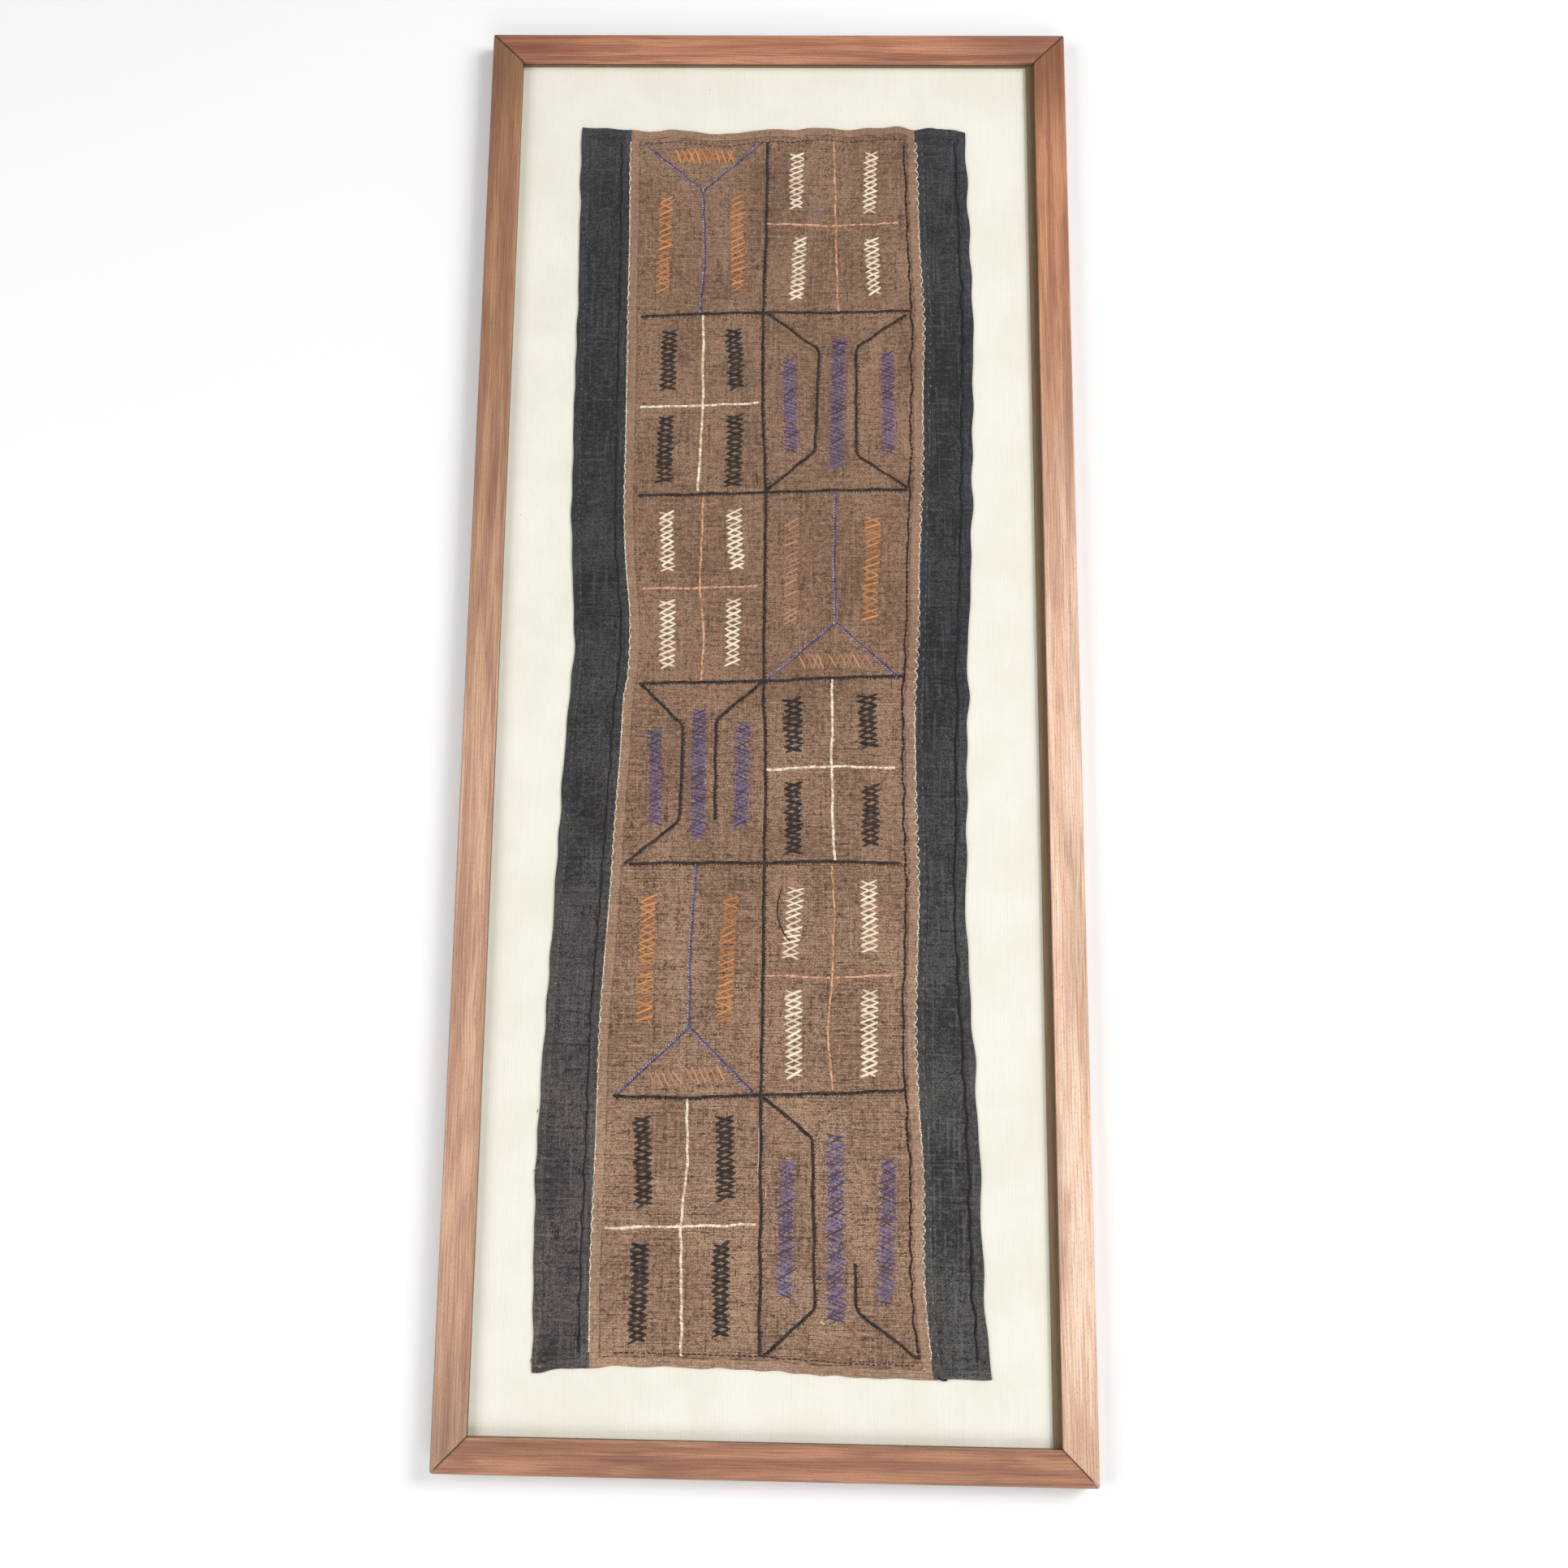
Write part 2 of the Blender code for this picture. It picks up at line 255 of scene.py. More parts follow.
grain, given, sent = new_group(
    "wood_grain",
    [("Vector", "Vector"), ("Pale", "Color"), ("Middle", "Color"), ("Dark", "Color")],
    [("Color", "Color"), ("Roughness", "Float"), ("Height", "Float")],
)
streaks = stretched_noise(grain, given["Vector"], (5.0, 150.0, 150.0), 3.0, 0.5)
drift = stretched_noise(grain, given["Vector"], (6.0, 26.0, 26.0), 2.0, 0.3)
fibre = stretched_noise(grain, given["Vector"], (26.0, 1050.0, 1050.0), 4.0, 0.3)
pores = stretched_noise(grain, given["Vector"], (420.0, 2100.0, 2100.0), 1.0)
blotch = stretched_noise(grain, given["Vector"], (11.0, 45.0, 45.0), 2.0, 1.2)
across = put(grain, "SeparateXYZ", {}, {0: given["Vector"]}).outputs["Y"]
ring_place = maths(grain, "MULTIPLY_ADD", across, GROWTH_LINES_PER_METRE)
ring_place.node.inputs[2].default_value = 0.0
ring_place = maths(grain, "ADD", ring_place, maths(grain, "MULTIPLY", drift, WANDER * 2))
ring = maths(grain, "POWER", maths(grain, "FRACT", ring_place), 2.2)
tone = mix(grain, soft_step(grain, streaks, 0.38, 0.62), given["Middle"], given["Pale"])
tone = mix(grain, soft_step(grain, blotch, 0.5, 0.78), tone, given["Middle"])
tone = mix(grain, maths(grain, "MULTIPLY", soft_step(grain, drift, 0.50, 0.72), 0.40), tone, given["Dark"])
tone = mix(grain, maths(grain, "MULTIPLY", ring, 0.30), tone, given["Dark"])
tone = mix(grain, maths(grain, "MULTIPLY", soft_step(grain, fibre, 0.48, 0.68), 0.38), tone, given["Dark"])
tone = mix(grain, maths(grain, "MULTIPLY", soft_step(grain, pores, 0.50, 0.72), 0.32), tone, given["Dark"])
tone = mix(grain, maths(grain, "MULTIPLY", soft_step(grain, fibre, 0.47, 0.30), 0.30), tone, given["Pale"])
grain.links.new(tone, sent["Color"])
grain.links.new(maths(grain, "MULTIPLY_ADD", fibre, 0.16), sent["Roughness"])
sent["Roughness"].links[0].from_node.inputs[2].default_value = 0.36
grain.links.new(maths(grain, "SUBTRACT", maths(grain, "MULTIPLY", fibre, 0.6), ring), sent["Height"])

MITRE_LINE = 0.00045
MITRE_STAIN = 0.0024
ARRIS_BAND = 0.0016

edges, given, sent = new_group(
    "mitre_and_arris",
    [("Vector", "Vector")],
    [("Joint", "Float"), ("Arris", "Float")],
)
split = put(edges, "SeparateXYZ", {}, {0: given["Vector"]}).outputs
from_side = maths(edges, "SUBTRACT", half_width, maths(edges, "ABSOLUTE", split["X"]))
from_end = maths(edges, "SUBTRACT", half_height, maths(edges, "ABSOLUTE", split["Y"]))
off_mitre = maths(edges, "ABSOLUTE", maths(edges, "SUBTRACT", from_side, from_end))
patchy = stretched_noise(edges, given["Vector"], (160.0, 160.0, 160.0), 2.0)
stain = maths(edges, "MULTIPLY", soft_step(edges, off_mitre, MITRE_STAIN, 0.0), patchy)
line = soft_step(edges, off_mitre, MITRE_LINE * 1.6, MITRE_LINE)
edges.links.new(maths(edges, "MAXIMUM", line, stain), sent["Joint"])
from_edge = maths(edges, "MINIMUM", from_side, from_end)
edges.links.new(soft_step(edges, from_edge, ARRIS_BAND, 0.0), sent["Arris"])
print("groups", [group.name for group in bpy.data.node_groups])

# %% [markdown]
# Each rail was cut from its own board, so each gets its own three tones: the top rail is the reddest
# and the bottom one browner. Both sides grow paler towards the foot: that is a painted sheen, the
# broad shine of the satin varnish there.
# Near the corners the stain is darker. A Mapping node turns the pattern, so that X runs along the rail.

# %% The four rails
# The fade field holds the paler tones of a painted sheen towards the foot of the side rails.
Rail = namedtuple("Rail", "node pale middle dark upright shift arris stain fade")
RAILS = (
    Rail("rail_top", "cd9271", "aa7157", "64382c", False, 0.0, "6d4c40", (0.45, 0.50), None),
    Rail("rail_bottom", "be8969", "996a52", "633d2f", False, 0.7, "84604f", (0.05, 0.05), None),
    Rail("rail_left", "b48664", "966c52", "634030", True, 1.9, "6f5143", (0.38, 0.40), ("d9af90", "bd9077")),
    Rail("rail_right", "cb9069", "a66e4b", "6a3c28", True, 3.1, "b08674", (0.22, 0.66), ("ffdfc7", "efc3a4")),
)
SHEEN_START, SHEEN_END = 0.40, -0.12
CORNER_REACH = 120 * MM
WOOD_BUMP = 0.00012


def rail_wood(rail):
    material, tree, shader, place = new_material(rail.node + "_wood", 0.4)
    turn = math.pi / 2 if rail.upright else 0.0
    settings = {"Vector": place, "Rotation": (0, 0, turn), "Location": (rail.shift, 0, 0)}
    along = put(tree, "Mapping", {}, settings).outputs["Vector"]
    tones = {"Pale": paint(rail.pale), "Middle": paint(rail.middle), "Dark": paint(rail.dark)}
    # Painted sheen: the side rails grow paler towards the foot, where the varnish shines.
    if rail.fade:
        rise = put(tree, "SeparateXYZ", {}, {0: place}).outputs["Y"]
        sheen_share = soft_step(tree, rise, SHEEN_START, SHEEN_END)
        for name, tone in zip(("Pale", "Middle"), rail.fade):
            tones[name] = mix(tree, sheen_share, tones[name], paint(tone))
    wood = put(tree, "Group", {"node_tree": grain}, {"Vector": along, **tones})
    edge = put(tree, "Group", {"node_tree": edges}, {"Vector": place})
    end = half_height if rail.upright else half_width
    from_middle = put(tree, "SeparateXYZ", {}, {0: place}).outputs["Y" if rail.upright else "X"]
    corner = soft_step(tree, maths(tree, "ABSOLUTE", from_middle), end - CORNER_REACH, end - rail_face)
    near, far = rail.stain
    swing = soft_step(tree, from_middle, -rail_face, rail_face)
    strength = maths(tree, "ADD", maths(tree, "MULTIPLY", swing, far - near), near)
    colour = mix(tree, maths(tree, "MULTIPLY", corner, strength), wood.outputs["Color"], paint(rail.dark))
    colour = mix(tree, maths(tree, "MULTIPLY", edge.outputs["Arris"], 0.55), colour, paint(rail.arris))
    colour = mix(tree, maths(tree, "MULTIPLY", edge.outputs["Joint"], 0.85), colour, paint("3a2019"))
    tree.links.new(colour, shader.inputs["Base Color"])
    tree.links.new(wood.outputs["Roughness"], shader.inputs["Roughness"])
    bump = put(tree, "Bump", {}, {"Height": wood.outputs["Height"], "Strength": 0.7, "Distance": WOOD_BUMP})
    tree.links.new(bump.outputs["Normal"], shader.inputs["Normal"])
    shader.inputs["Coat Weight"].default_value = 0.15
    shader.inputs["Coat Roughness"].default_value = 0.35
    return material


for rail in RAILS:
    dress(rail.node, rail_wood(rail))
print(len(RAILS), "rails stained")

# %% [markdown]
# Picture glass is clear and slightly green at its edge. A plain transmitting shader would stop the
# lamps, because rays that look for a lamp don't bend through glass, and the cloth would lie in the
# dark. So the Light Path node makes the pane see-through to the rays that gather light.

# %% The glass
glass, tree, shader, place = new_material("picture_glass", 0.02)
shader.inputs["Base Color"].default_value = (0.985, 0.995, 0.99, 1.0)
shader.inputs["Transmission Weight"].default_value = 1.0
shader.inputs["IOR"].default_value = 1.45
rays = put(tree, "LightPath").outputs
lit_through = maths(tree, "MAXIMUM", rays["Is Shadow Ray"], rays["Is Diffuse Ray"])
tree.links.new(maths(tree, "SUBTRACT", 1.0, lit_through), shader.inputs["Alpha"])
dress("glass_pane", glass)

# %% [markdown]
# Behind the glass lie two quiet surfaces. The spacer strips are taupe card with fine streaks along
# their length. The mount is board covered in a cream ribbed cotton: thin upright ribs with painted
# shade in the hollows between them, crossed by finer threads, a little cloudy, with a few grey specks
# of dust caught under the glass.

# %% Spacers and mount
RIB_PITCH = 0.0014
CROSS_THREAD_PITCH = 0.0008
SPECK_SPACING_PER_METRE = 55.0

card, tree, shader, place = new_material("taupe_card", 0.85)
shader.inputs["Specular IOR Level"].default_value = 0.1
streak = stretched_noise(tree, place, (1500.0, 40.0, 300.0), 2.0)
tone = mix(tree, soft_step(tree, streak, 0.2, 0.8), paint("745d44"), paint("877156"))
tree.links.new(tone, shader.inputs["Base Color"])
for node in ("spacer_top", "spacer_bottom", "spacer_left", "spacer_right"):
    dress(node, card)

cotton, tree, shader, place = new_material("ribbed_cotton", 0.9)
shader.inputs["Sheen Weight"].default_value = 0.1
bow = stretched_noise(tree, place, (30.0, 6.0, 1.0), 1.0)
split = put(tree, "SeparateXYZ", {}, {0: place}).outputs
side = maths(tree, "ADD", split["X"], maths(tree, "MULTIPLY", bow, 0.0016))
rib = maths(tree, "SINE", maths(tree, "MULTIPLY", side, 2 * math.pi / RIB_PITCH))
cross_thread = maths(tree, "SINE", maths(tree, "MULTIPLY", split["Y"], 2 * math.pi / CROSS_THREAD_PITCH))
rib_strength = stretched_noise(tree, place, (420.0, 18.0, 1.0), 2.0)
cloud = stretched_noise(tree, place, (22.0, 22.0, 22.0), 3.0)
tone = mix(tree, soft_step(tree, cloud, 0.3, 0.7), paint("ede8da"), paint("f3efe3"))
# Painted shade: the hollows between the ribs are darkened.
rib_shade_strength = maths(tree, "MULTIPLY", rib_strength, 0.75)
rib_shade = soft_share(tree, rib, 0.2, -1.0, rib_shade_strength)
tone = mix(tree, rib_shade, tone, paint("d6cfbd"))
speck = put(tree, "TexVoronoi", {}, {"Vector": place, "Scale": SPECK_SPACING_PER_METRE})
rare = soft_step(tree, put(tree, "SeparateXYZ", {}, {0: speck.outputs["Color"]}).outputs["X"], 0.80, 0.86)
dot = maths(tree, "MULTIPLY", soft_step(tree, speck.outputs["Distance"], 0.045, 0.02), rare)
tone = mix(tree, maths(tree, "MULTIPLY", dot, 0.5), tone, paint("8d8a80"))
tree.links.new(tone, shader.inputs["Base Color"])
relief = maths(tree, "ADD", rib, maths(tree, "MULTIPLY", cross_thread, 0.3))
bump = put(tree, "Bump", {}, {"Height": relief, "Strength": 0.35, "Distance": 0.00008})
tree.links.new(bump.outputs["Normal"], shader.inputs["Normal"])
dress("mount_board", cotton)
print("mount and spacers covered")

# %% [markdown]
# The cloth's outline is in the solids already. Each length of cloth is a thin solid with upright
# side walls, so the walls that face left give its left edge, and so on. Reading them keeps
# the fine sheets exactly where the plain ones are. A smooth curve through those points gives the
# edge at any height.

# %% Read the outline from the solids
def wall(nodes, across, sign):
    """The side walls of some solids that face along one axis, as sorted (along, across) pairs."""
    pairs = {}
    for node in nodes:
        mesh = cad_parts[node].data
        for face in mesh.polygons:
            if face.normal[across] * sign > 0.8:
                for index in face.vertices:
                    corner = mesh.vertices[index].co
                    pairs[round(corner[1 - across], 4)] = corner[across]
    return sorted(pairs.items())


def curve_through(pairs):
    """A smooth function through (position, value) pairs, for arrays."""
    spots, values = np.array(pairs).T
    slopes = np.gradient(values, spots)

    def value(at):
        at = np.clip(at, spots[0], spots[-1])
        index = np.clip(np.searchsorted(spots, at) - 1, 0, len(spots) - 2)
        span = spots[index + 1] - spots[index]
        t = (at - spots[index]) / span
        ends = values[index] * (1 + 2 * t) * (1 - t) ** 2 + values[index + 1] * t * t * (3 - 2 * t)
        return ends + span * t * (1 - t) * (slopes[index] * (1 - t) - slopes[index + 1] * t)

    return value


def both(name):
    return [name + "_upper", name + "_lower"]


left_edge = curve_through(wall(both("border_left"), 0, -1))
left_seam = curve_through(wall(both("panel"), 0, -1))
right_seam = curve_through(wall(both("panel"), 0, 1))
right_edge = curve_through(wall(both("border_right"), 0, 1))
top_edge = curve_through(wall(["border_left_upper", "panel_upper", "border_right_upper"], 1, 1))
foot_edge = curve_through(wall(["border_left_lower", "panel_lower", "border_right_lower"], 1, -1))
joints = {}
for name in ("panel", "border_left", "border_right"):
    joints[name] = curve_through(wall([name + "_upper"], 1, -1))
cloth_width = float(right_edge(0.0) - left_edge(0.0))
cloth_length = float(top_edge(0.0) - foot_edge(0.0))
print("cloth", round(cloth_width / MM, 1), "x", round(cloth_length / MM, 1), "mm")

# %% [markdown]
# The embroidery is twelve fields, two across and six down, parted by black lines. Only three figures
# fill them: a cross, a fork, and a pair of lines drawn in like a waist. So the layout needs no list of
# places. It is a chart with a row for each field, and three small drawings in shares of a field's
# width and height. The fields keep their distance from the seams, so they follow the cloth's shape. A
# maker who works by eye never lands quite on the mark, so chance with a fixed seed moves each corner.

# %% The chart of the fields
ROW_HEIGHTS = (155, 155, 155, 145, 175, 190)
FIELDS_TOP = 482
FIELDS_FOOT = FIELDS_TOP - sum(ROW_HEIGHTS)
LINE_RISE = 0.03
CENTRE_TOP, CENTRE_FOOT = -9, -3
FIELD_INSET = 10
MISS = 1.3

Field = namedtuple("Field", "row column figure line bars sewn")
FIELDS = (
    Field(0, 0, "fork", "violet", ("orange", "orange", "orange"), "arms up"),
    Field(0, 1, "cross", "salmon", ("natural",) * 4, "whole"),
    Field(1, 0, "cross", "natural", ("black",) * 4, "whole"),
    Field(1, 1, "waist", "black", ("purple",) * 3, "whole"),
    Field(2, 0, "cross", "salmon", ("natural",) * 4, "whole"),
    Field(2, 1, "fork", "violet", ("rust", "orange", "rust"), "arms down"),
    Field(3, 0, "waist", "black", ("purple",) * 3, "no foot"),
    Field(3, 1, "cross", "natural", ("black",) * 4, "whole"),
    Field(4, 0, "fork", "violet", ("orange", "orange", "rust"), "arms down"),
    Field(4, 1, "cross", "salmon", ("natural",) * 4, "whole"),
    Field(5, 0, "cross", "natural", ("black",) * 4, "whole"),
    Field(5, 1, "waist", "black", ("indigo",) * 3, "no top"),
)
hand = np.random.default_rng(12)


def centre(y):
    """The line between the two columns of fields drifts a little to the right on its way down."""
    return CENTRE_TOP + (CENTRE_FOOT - CENTRE_TOP) * (FIELDS_TOP - y) / (FIELDS_TOP - FIELDS_FOOT)


def mark(field, across, up):
    """A place in a field, from shares of its width and height, off by a maker's small miss."""
    y = FIELDS_TOP - sum(ROW_HEIGHTS[:field.row]) - (1 - up) * ROW_HEIGHTS[field.row]
    left, right = centre(y), float(right_seam(y * MM)) / MM - FIELD_INSET
    if field.column == 0:
        left, right = float(left_seam(y * MM)) / MM + FIELD_INSET, centre(y)
    x = left + (right - left) * across
    y += LINE_RISE * x + hand.normal(0, MISS)
    return x + hand.normal(0, MISS), min(max(y, FIELDS_FOOT), FIELDS_TOP)


print(len(FIELDS), "fields, from", FIELDS_TOP, "to", FIELDS_FOOT, "mm")

# %% [markdown]
# The three figures are drawn once each. The lines that part the fields come first: the centre line has
# a corner at each row and half-way between, and each line across has its corners at the sides, the
# centre and half-way. Two waists were never finished, so one right-hand line lacks its foot and one
# lacks its top.

# %% The three figures
CROSS_SIDES = (0.22, 0.76)
UPPER_BAR, LOWER_BAR = (0.92, 0.58), (0.44, 0.06)
FORK_AT = 0.29
FORK_SIDES = (0.19, 0.77)
FORK_BAR = (0.30, 0.87)
LYING_BAR = (0.25, 0.75, 0.08)
WAIST_IN = 0.36
KNEE = 34
WAIST_BARS = ((0.17, 0.75, 0.22), (0.50, 0.86, 0.12), (0.84, 0.76, 0.20))
BAR_WIDTHS = {"black": 12.5, "natural": 11, "orange": 10.5, "rust": 10.5, "purple": 10.5, "indigo": 11.5}

Bar = namedtuple("Bar", "yarn top foot width")
BARS = []
lines = {"black": [], "violet": [], "natural": [], "salmon": []}


def sew_bar(yarn, top, foot):
    BARS.append(Bar(yarn, top, foot, BAR_WIDTHS[yarn] * hand.uniform(0.93, 1.07)))


def sew_cross(field):
    middle = mark(field, 0.5, 0.5)
    ends = [mark(field, 0.5, up) for up in (1, 0.75, 0.25, 0)]
    lines[field.line].append((ends[0], ends[1], middle, ends[2], ends[3]))
    lines[field.line].append((mark(field, 0.0, 0.5), middle))
    lines[field.line].append((middle, mark(field, 0.97, 0.5)))
    for number, (high, low) in enumerate((UPPER_BAR, UPPER_BAR, LOWER_BAR, LOWER_BAR)):
        across = CROSS_SIDES[number % 2]
        sew_bar(field.bars[number], mark(field, across, high), mark(field, across, low))


def sew_fork(field):
    arms_up = field.sewn == "arms up"

    def at(across, along):
        return mark(field, across, 1 - along if arms_up else along)

    fork = at(0.5, FORK_AT)
    lines[field.line] += [(at(0.02, 0), fork), (at(0.97, 0), fork), (fork, at(0.5, 0.65), at(0.5, 1))]
    for yarn, across in zip(field.bars, FORK_SIDES):
        foot, top = sorted((at(across, FORK_BAR[0]), at(across, FORK_BAR[1])), key=lambda place: place[1])
        sew_bar(yarn, top, foot)
    sew_bar(field.bars[2], at(LYING_BAR[0], LYING_BAR[2]), at(LYING_BAR[1], LYING_BAR[2]))


def sew_waist(field):
    knee = KNEE / ROW_HEIGHTS[field.row]
    stops = ((0.0, 1), (WAIST_IN, 1 - knee), (WAIST_IN, knee), (0.0, 0))
    lines["black"].append([mark(field, across, up) for across, up in stops])
    if field.sewn == "no foot":
        stops = stops[:3]
    if field.sewn == "no top":
        stops = ((WAIST_IN, 2 * knee), stops[2], stops[3])
    lines["black"].append([mark(field, 1 - across, up) for across, up in stops])
    for yarn, (across, high, low) in zip(field.bars, WAIST_BARS):
        sew_bar(yarn, mark(field, across, high), mark(field, across, low))


right_fields = [field for field in FIELDS if field.column == 1]
middle_line = [mark(field, 0, up) for field in right_fields for up in (1, 0.5)]
lines["black"].append([*middle_line, mark(right_fields[-1], 0, 0)])
for left_field, right_field in zip(FIELDS[2::2], FIELDS[3::2]):
    line = [mark(left_field, 0, 1), mark(left_field, 0.5, 1)]
    lines["black"].append(line + [mark(right_field, across, 1) for across in (0, 0.5, 1)])
FIGURES = {"cross": sew_cross, "fork": sew_fork, "waist": sew_waist}
for field in FIELDS:
    FIGURES[field.figure](field)
print({yarn: len(routes) for yarn, routes in lines.items()}, "couched lines and", len(BARS), "bars")

# %% [markdown]
# A hand-sewn line is neither straight nor a fair curve: it runs straight between the corners, rounds
# them off, and wavers. The route helper does the same. It walks the corners in small steps, averages
# each step with its neighbours, adds a slow waver, and returns evenly spaced places with the
# direction of the line at each.

# %% Routes
STEP = 0.5 * MM
CORNER_EASE = 9
WAVER = 0.30 * MM


def waver(seed, distance, reach, shortest, longest):
    """A slow, repeatable swing along a line: a few waves between the shortest and the longest length."""
    chance = np.random.default_rng(seed)
    swing = np.zeros_like(distance)
    for _ in range(5):
        length = chance.uniform(shortest, longest)
        swing += np.sin(2 * math.pi * distance / length + chance.uniform(0, 2 * math.pi))
    return reach * swing / 2.2


def route(corners, pitch, seed, reach=WAVER):
    """Places along a line through the corners, in metres: x, y and direction, pitch apart."""
    points = np.array(corners, float) * MM
    runs = np.hypot(*np.diff(points, axis=0).T)
    marks = np.concatenate([[0.0], np.cumsum(runs)])
    count = max(int(marks[-1] / STEP), 2 * CORNER_EASE)
    distance = np.linspace(0, marks[-1], count)
    x, y = (np.interp(distance, marks, points[:, axis]) for axis in (0, 1))
    eased = []
    for values in (x, y):
        ends = (np.full(CORNER_EASE, values[0]), np.full(CORNER_EASE, values[-1]))
        padded = np.concatenate([ends[0], values, ends[1]])
        kernel = np.full(2 * CORNER_EASE + 1, 1 / (2 * CORNER_EASE + 1))
        eased.append(np.convolve(padded, kernel, mode="valid"))
    x, y = eased
    heading = np.arctan2(np.gradient(y), np.gradient(x))
    fade = np.clip(np.minimum(distance, marks[-1] - distance) / (8 * MM), 0, 1)
    swing = waver(seed, distance, reach, 14 * MM, 60 * MM) * fade
    x, y = x - swing * np.sin(heading), y + swing * np.cos(heading)
    heading = np.unwrap(np.arctan2(np.gradient(y), np.gradient(x)))
    marks = np.concatenate([[0.0], np.cumsum(np.hypot(np.diff(x), np.diff(y)))])
    at = np.arange(pitch / 2, marks[-1], pitch)
    return tuple(np.interp(at, marks, values) for values in (x, y, heading))


def edge_route(curve, low, high, offset, pitch, seed, reach, upright=True):
    """Places along a line that keeps its distance from an edge of the cloth."""
    along = np.linspace(low, high, 60)
    across = curve(along) + offset
    corners = np.stack([across, along] if upright else [along, across], axis=1) / MM
    return route(corners, pitch, seed, reach)


sample = route(lines["black"][0], 10 * MM, 1)
print("the centre line is", round(len(sample[0]) * 10), "mm long")

# %% [markdown]
# Cloth that has been sewn is never flat. The hems stand up a little, each line of stitches
# draws the cloth down into a shallow trough and pushes it up on both sides, and the whole length is
# gently uneven. All of that is kept as one map of heights over the cloth, half a millimetre to a
# cell. The sheets and the stitches both read it, so a stitch always lies on its cloth.

# %% The map of heights
CELL = 0.5 * MM
MAP_MARGIN = 3 * MM
SHEET_THICKNESS = 1.0 * MM
CLEAR_OF_BOARD = 0.2 * MM
HEM_WIDTH = 8.5 * MM
HEM_SHOULDER = 1.6 * MM
HEM_RAISE = 0.35 * MM
JOINT_HEM = 5 * MM

left_end, right_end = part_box("border_left_lower")[0].x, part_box("border_right_lower")[1].x
foot_end, top_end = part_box("panel_lower")[0].y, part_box("panel_upper")[1].y
map_x = np.arange(left_end - MAP_MARGIN, right_end + MAP_MARGIN, CELL)
map_y = np.arange(foot_end - 3 * MAP_MARGIN, top_end + 3 * MAP_MARGIN, CELL)
X, Y = np.meshgrid(map_x, map_y)


def ramp(value):
    value = np.clip(value, 0, 1)
    return value * value * (3 - 2 * value)


def uneven(x, y, seed, shortest, longest, count=14):
    """Waves of many lengths and directions, from about -1 to 1."""
    chance = np.random.default_rng(seed)
    total = np.zeros_like(x)
    for _ in range(count):
        length = chance.uniform(shortest, longest)
        angle = chance.uniform(0, math.pi)
        phase = chance.uniform(0, 2 * math.pi)
        total += np.sin(2 * math.pi * (x * math.cos(angle) + y * math.sin(angle)) / length + phase)
    return total / math.sqrt(2 * count)


in_panel = (X > left_seam(Y)) & (X < right_seam(Y))
in_left = X <= left_seam(Y)
from_side = np.where(in_panel, np.minimum(X - left_seam(Y), right_seam(Y) - X), 0.0)
from_side = np.where(in_left, np.minimum(X - left_edge(Y), left_seam(Y) - X), from_side)
in_right = ~in_panel & ~in_left
from_side = np.where(in_right, np.minimum(X - right_seam(Y), right_edge(Y) - X), from_side)
from_end = np.minimum(top_edge(X) - Y, Y - foot_edge(X))
to_joint = np.where(in_panel, np.abs(Y - joints["panel"](X)), np.abs(Y - joints["border_right"](X)))
to_joint = np.where(in_left, np.abs(Y - joints["border_left"](X)), to_joint)
hem = ramp((HEM_WIDTH - np.minimum(from_side, from_end)) / HEM_SHOULDER)
joint_hem = ramp((JOINT_HEM - to_joint) / HEM_SHOULDER)
heights = 0.16 * MM * (1 + uneven(X, Y, 5, 24 * MM, 90 * MM)) + 0.05 * MM * uneven(X, Y, 6, 7 * MM, 16 * MM)
heights += HEM_RAISE * np.maximum(hem, 0.6 * joint_hem)
heights -= 0.30 * MM * np.exp(-((to_joint / (0.9 * MM)) ** 2))
print("map", heights.shape, "cells")

# %% [markdown]
# Soft folds come next. The stitching drew the brown panel into a few low ridges: a long one beside
# the centre line in the third row of fields, one in the fifth, small ones where the corners pull, and
# short puckers that stand at right angles to each hem.

# %% Folds and puckers
Fold = namedtuple("Fold", "x y half_length half_width turn height")
FOLDS = (
    Fold(0.5, 97, 60, 9, -2, 0.55),
    Fold(9, -166, 30, 8, 4, 0.35),
    Fold(-12, 184, 16, 4, 8, 0.35),
    Fold(100, -15, 34, 7, -12, 0.3),
    Fold(118, -480, 28, 9, 20, 0.35),
    Fold(-50, 482, 14, 12, 80, 0.3),
    Fold(30, -345, 40, 8, 70, 0.3),
    Fold(75, -350, 26, 7, 86, 0.35),
    Fold(60, -405, 46, 7, 88, 0.3),
    Fold(90, -395, 26, 6, 92, 0.3),
    Fold(-60, -5, 40, 6, 88, 0.3),
    Fold(146, 405, 24, 8, 60, 0.3),
    Fold(-142, 330, 30, 9, 6, 0.25),
    Fold(-152, -250, 60, 10, 4, 0.25),
    Fold(140, -180, 46, 9, -5, 0.3),
)
FOLD_LIFT = 1.7
PUCKER_LENGTH = 11 * MM
PUCKER_REACH = 14 * MM
PUCKER_HEIGHT = 0.17 * MM

for fold in FOLDS:
    turn = math.radians(fold.turn)
    dx, dy = X - fold.x * MM, Y - fold.y * MM
    along = dy * math.cos(turn) + dx * math.sin(turn)
    aside = dx * math.cos(turn) - dy * math.sin(turn)
    fade = ramp(1 - np.abs(along) / (fold.half_length * MM))
    heights += FOLD_LIFT * fold.height * MM * fade * ramp(1 - np.abs(aside) / (fold.half_width * MM))

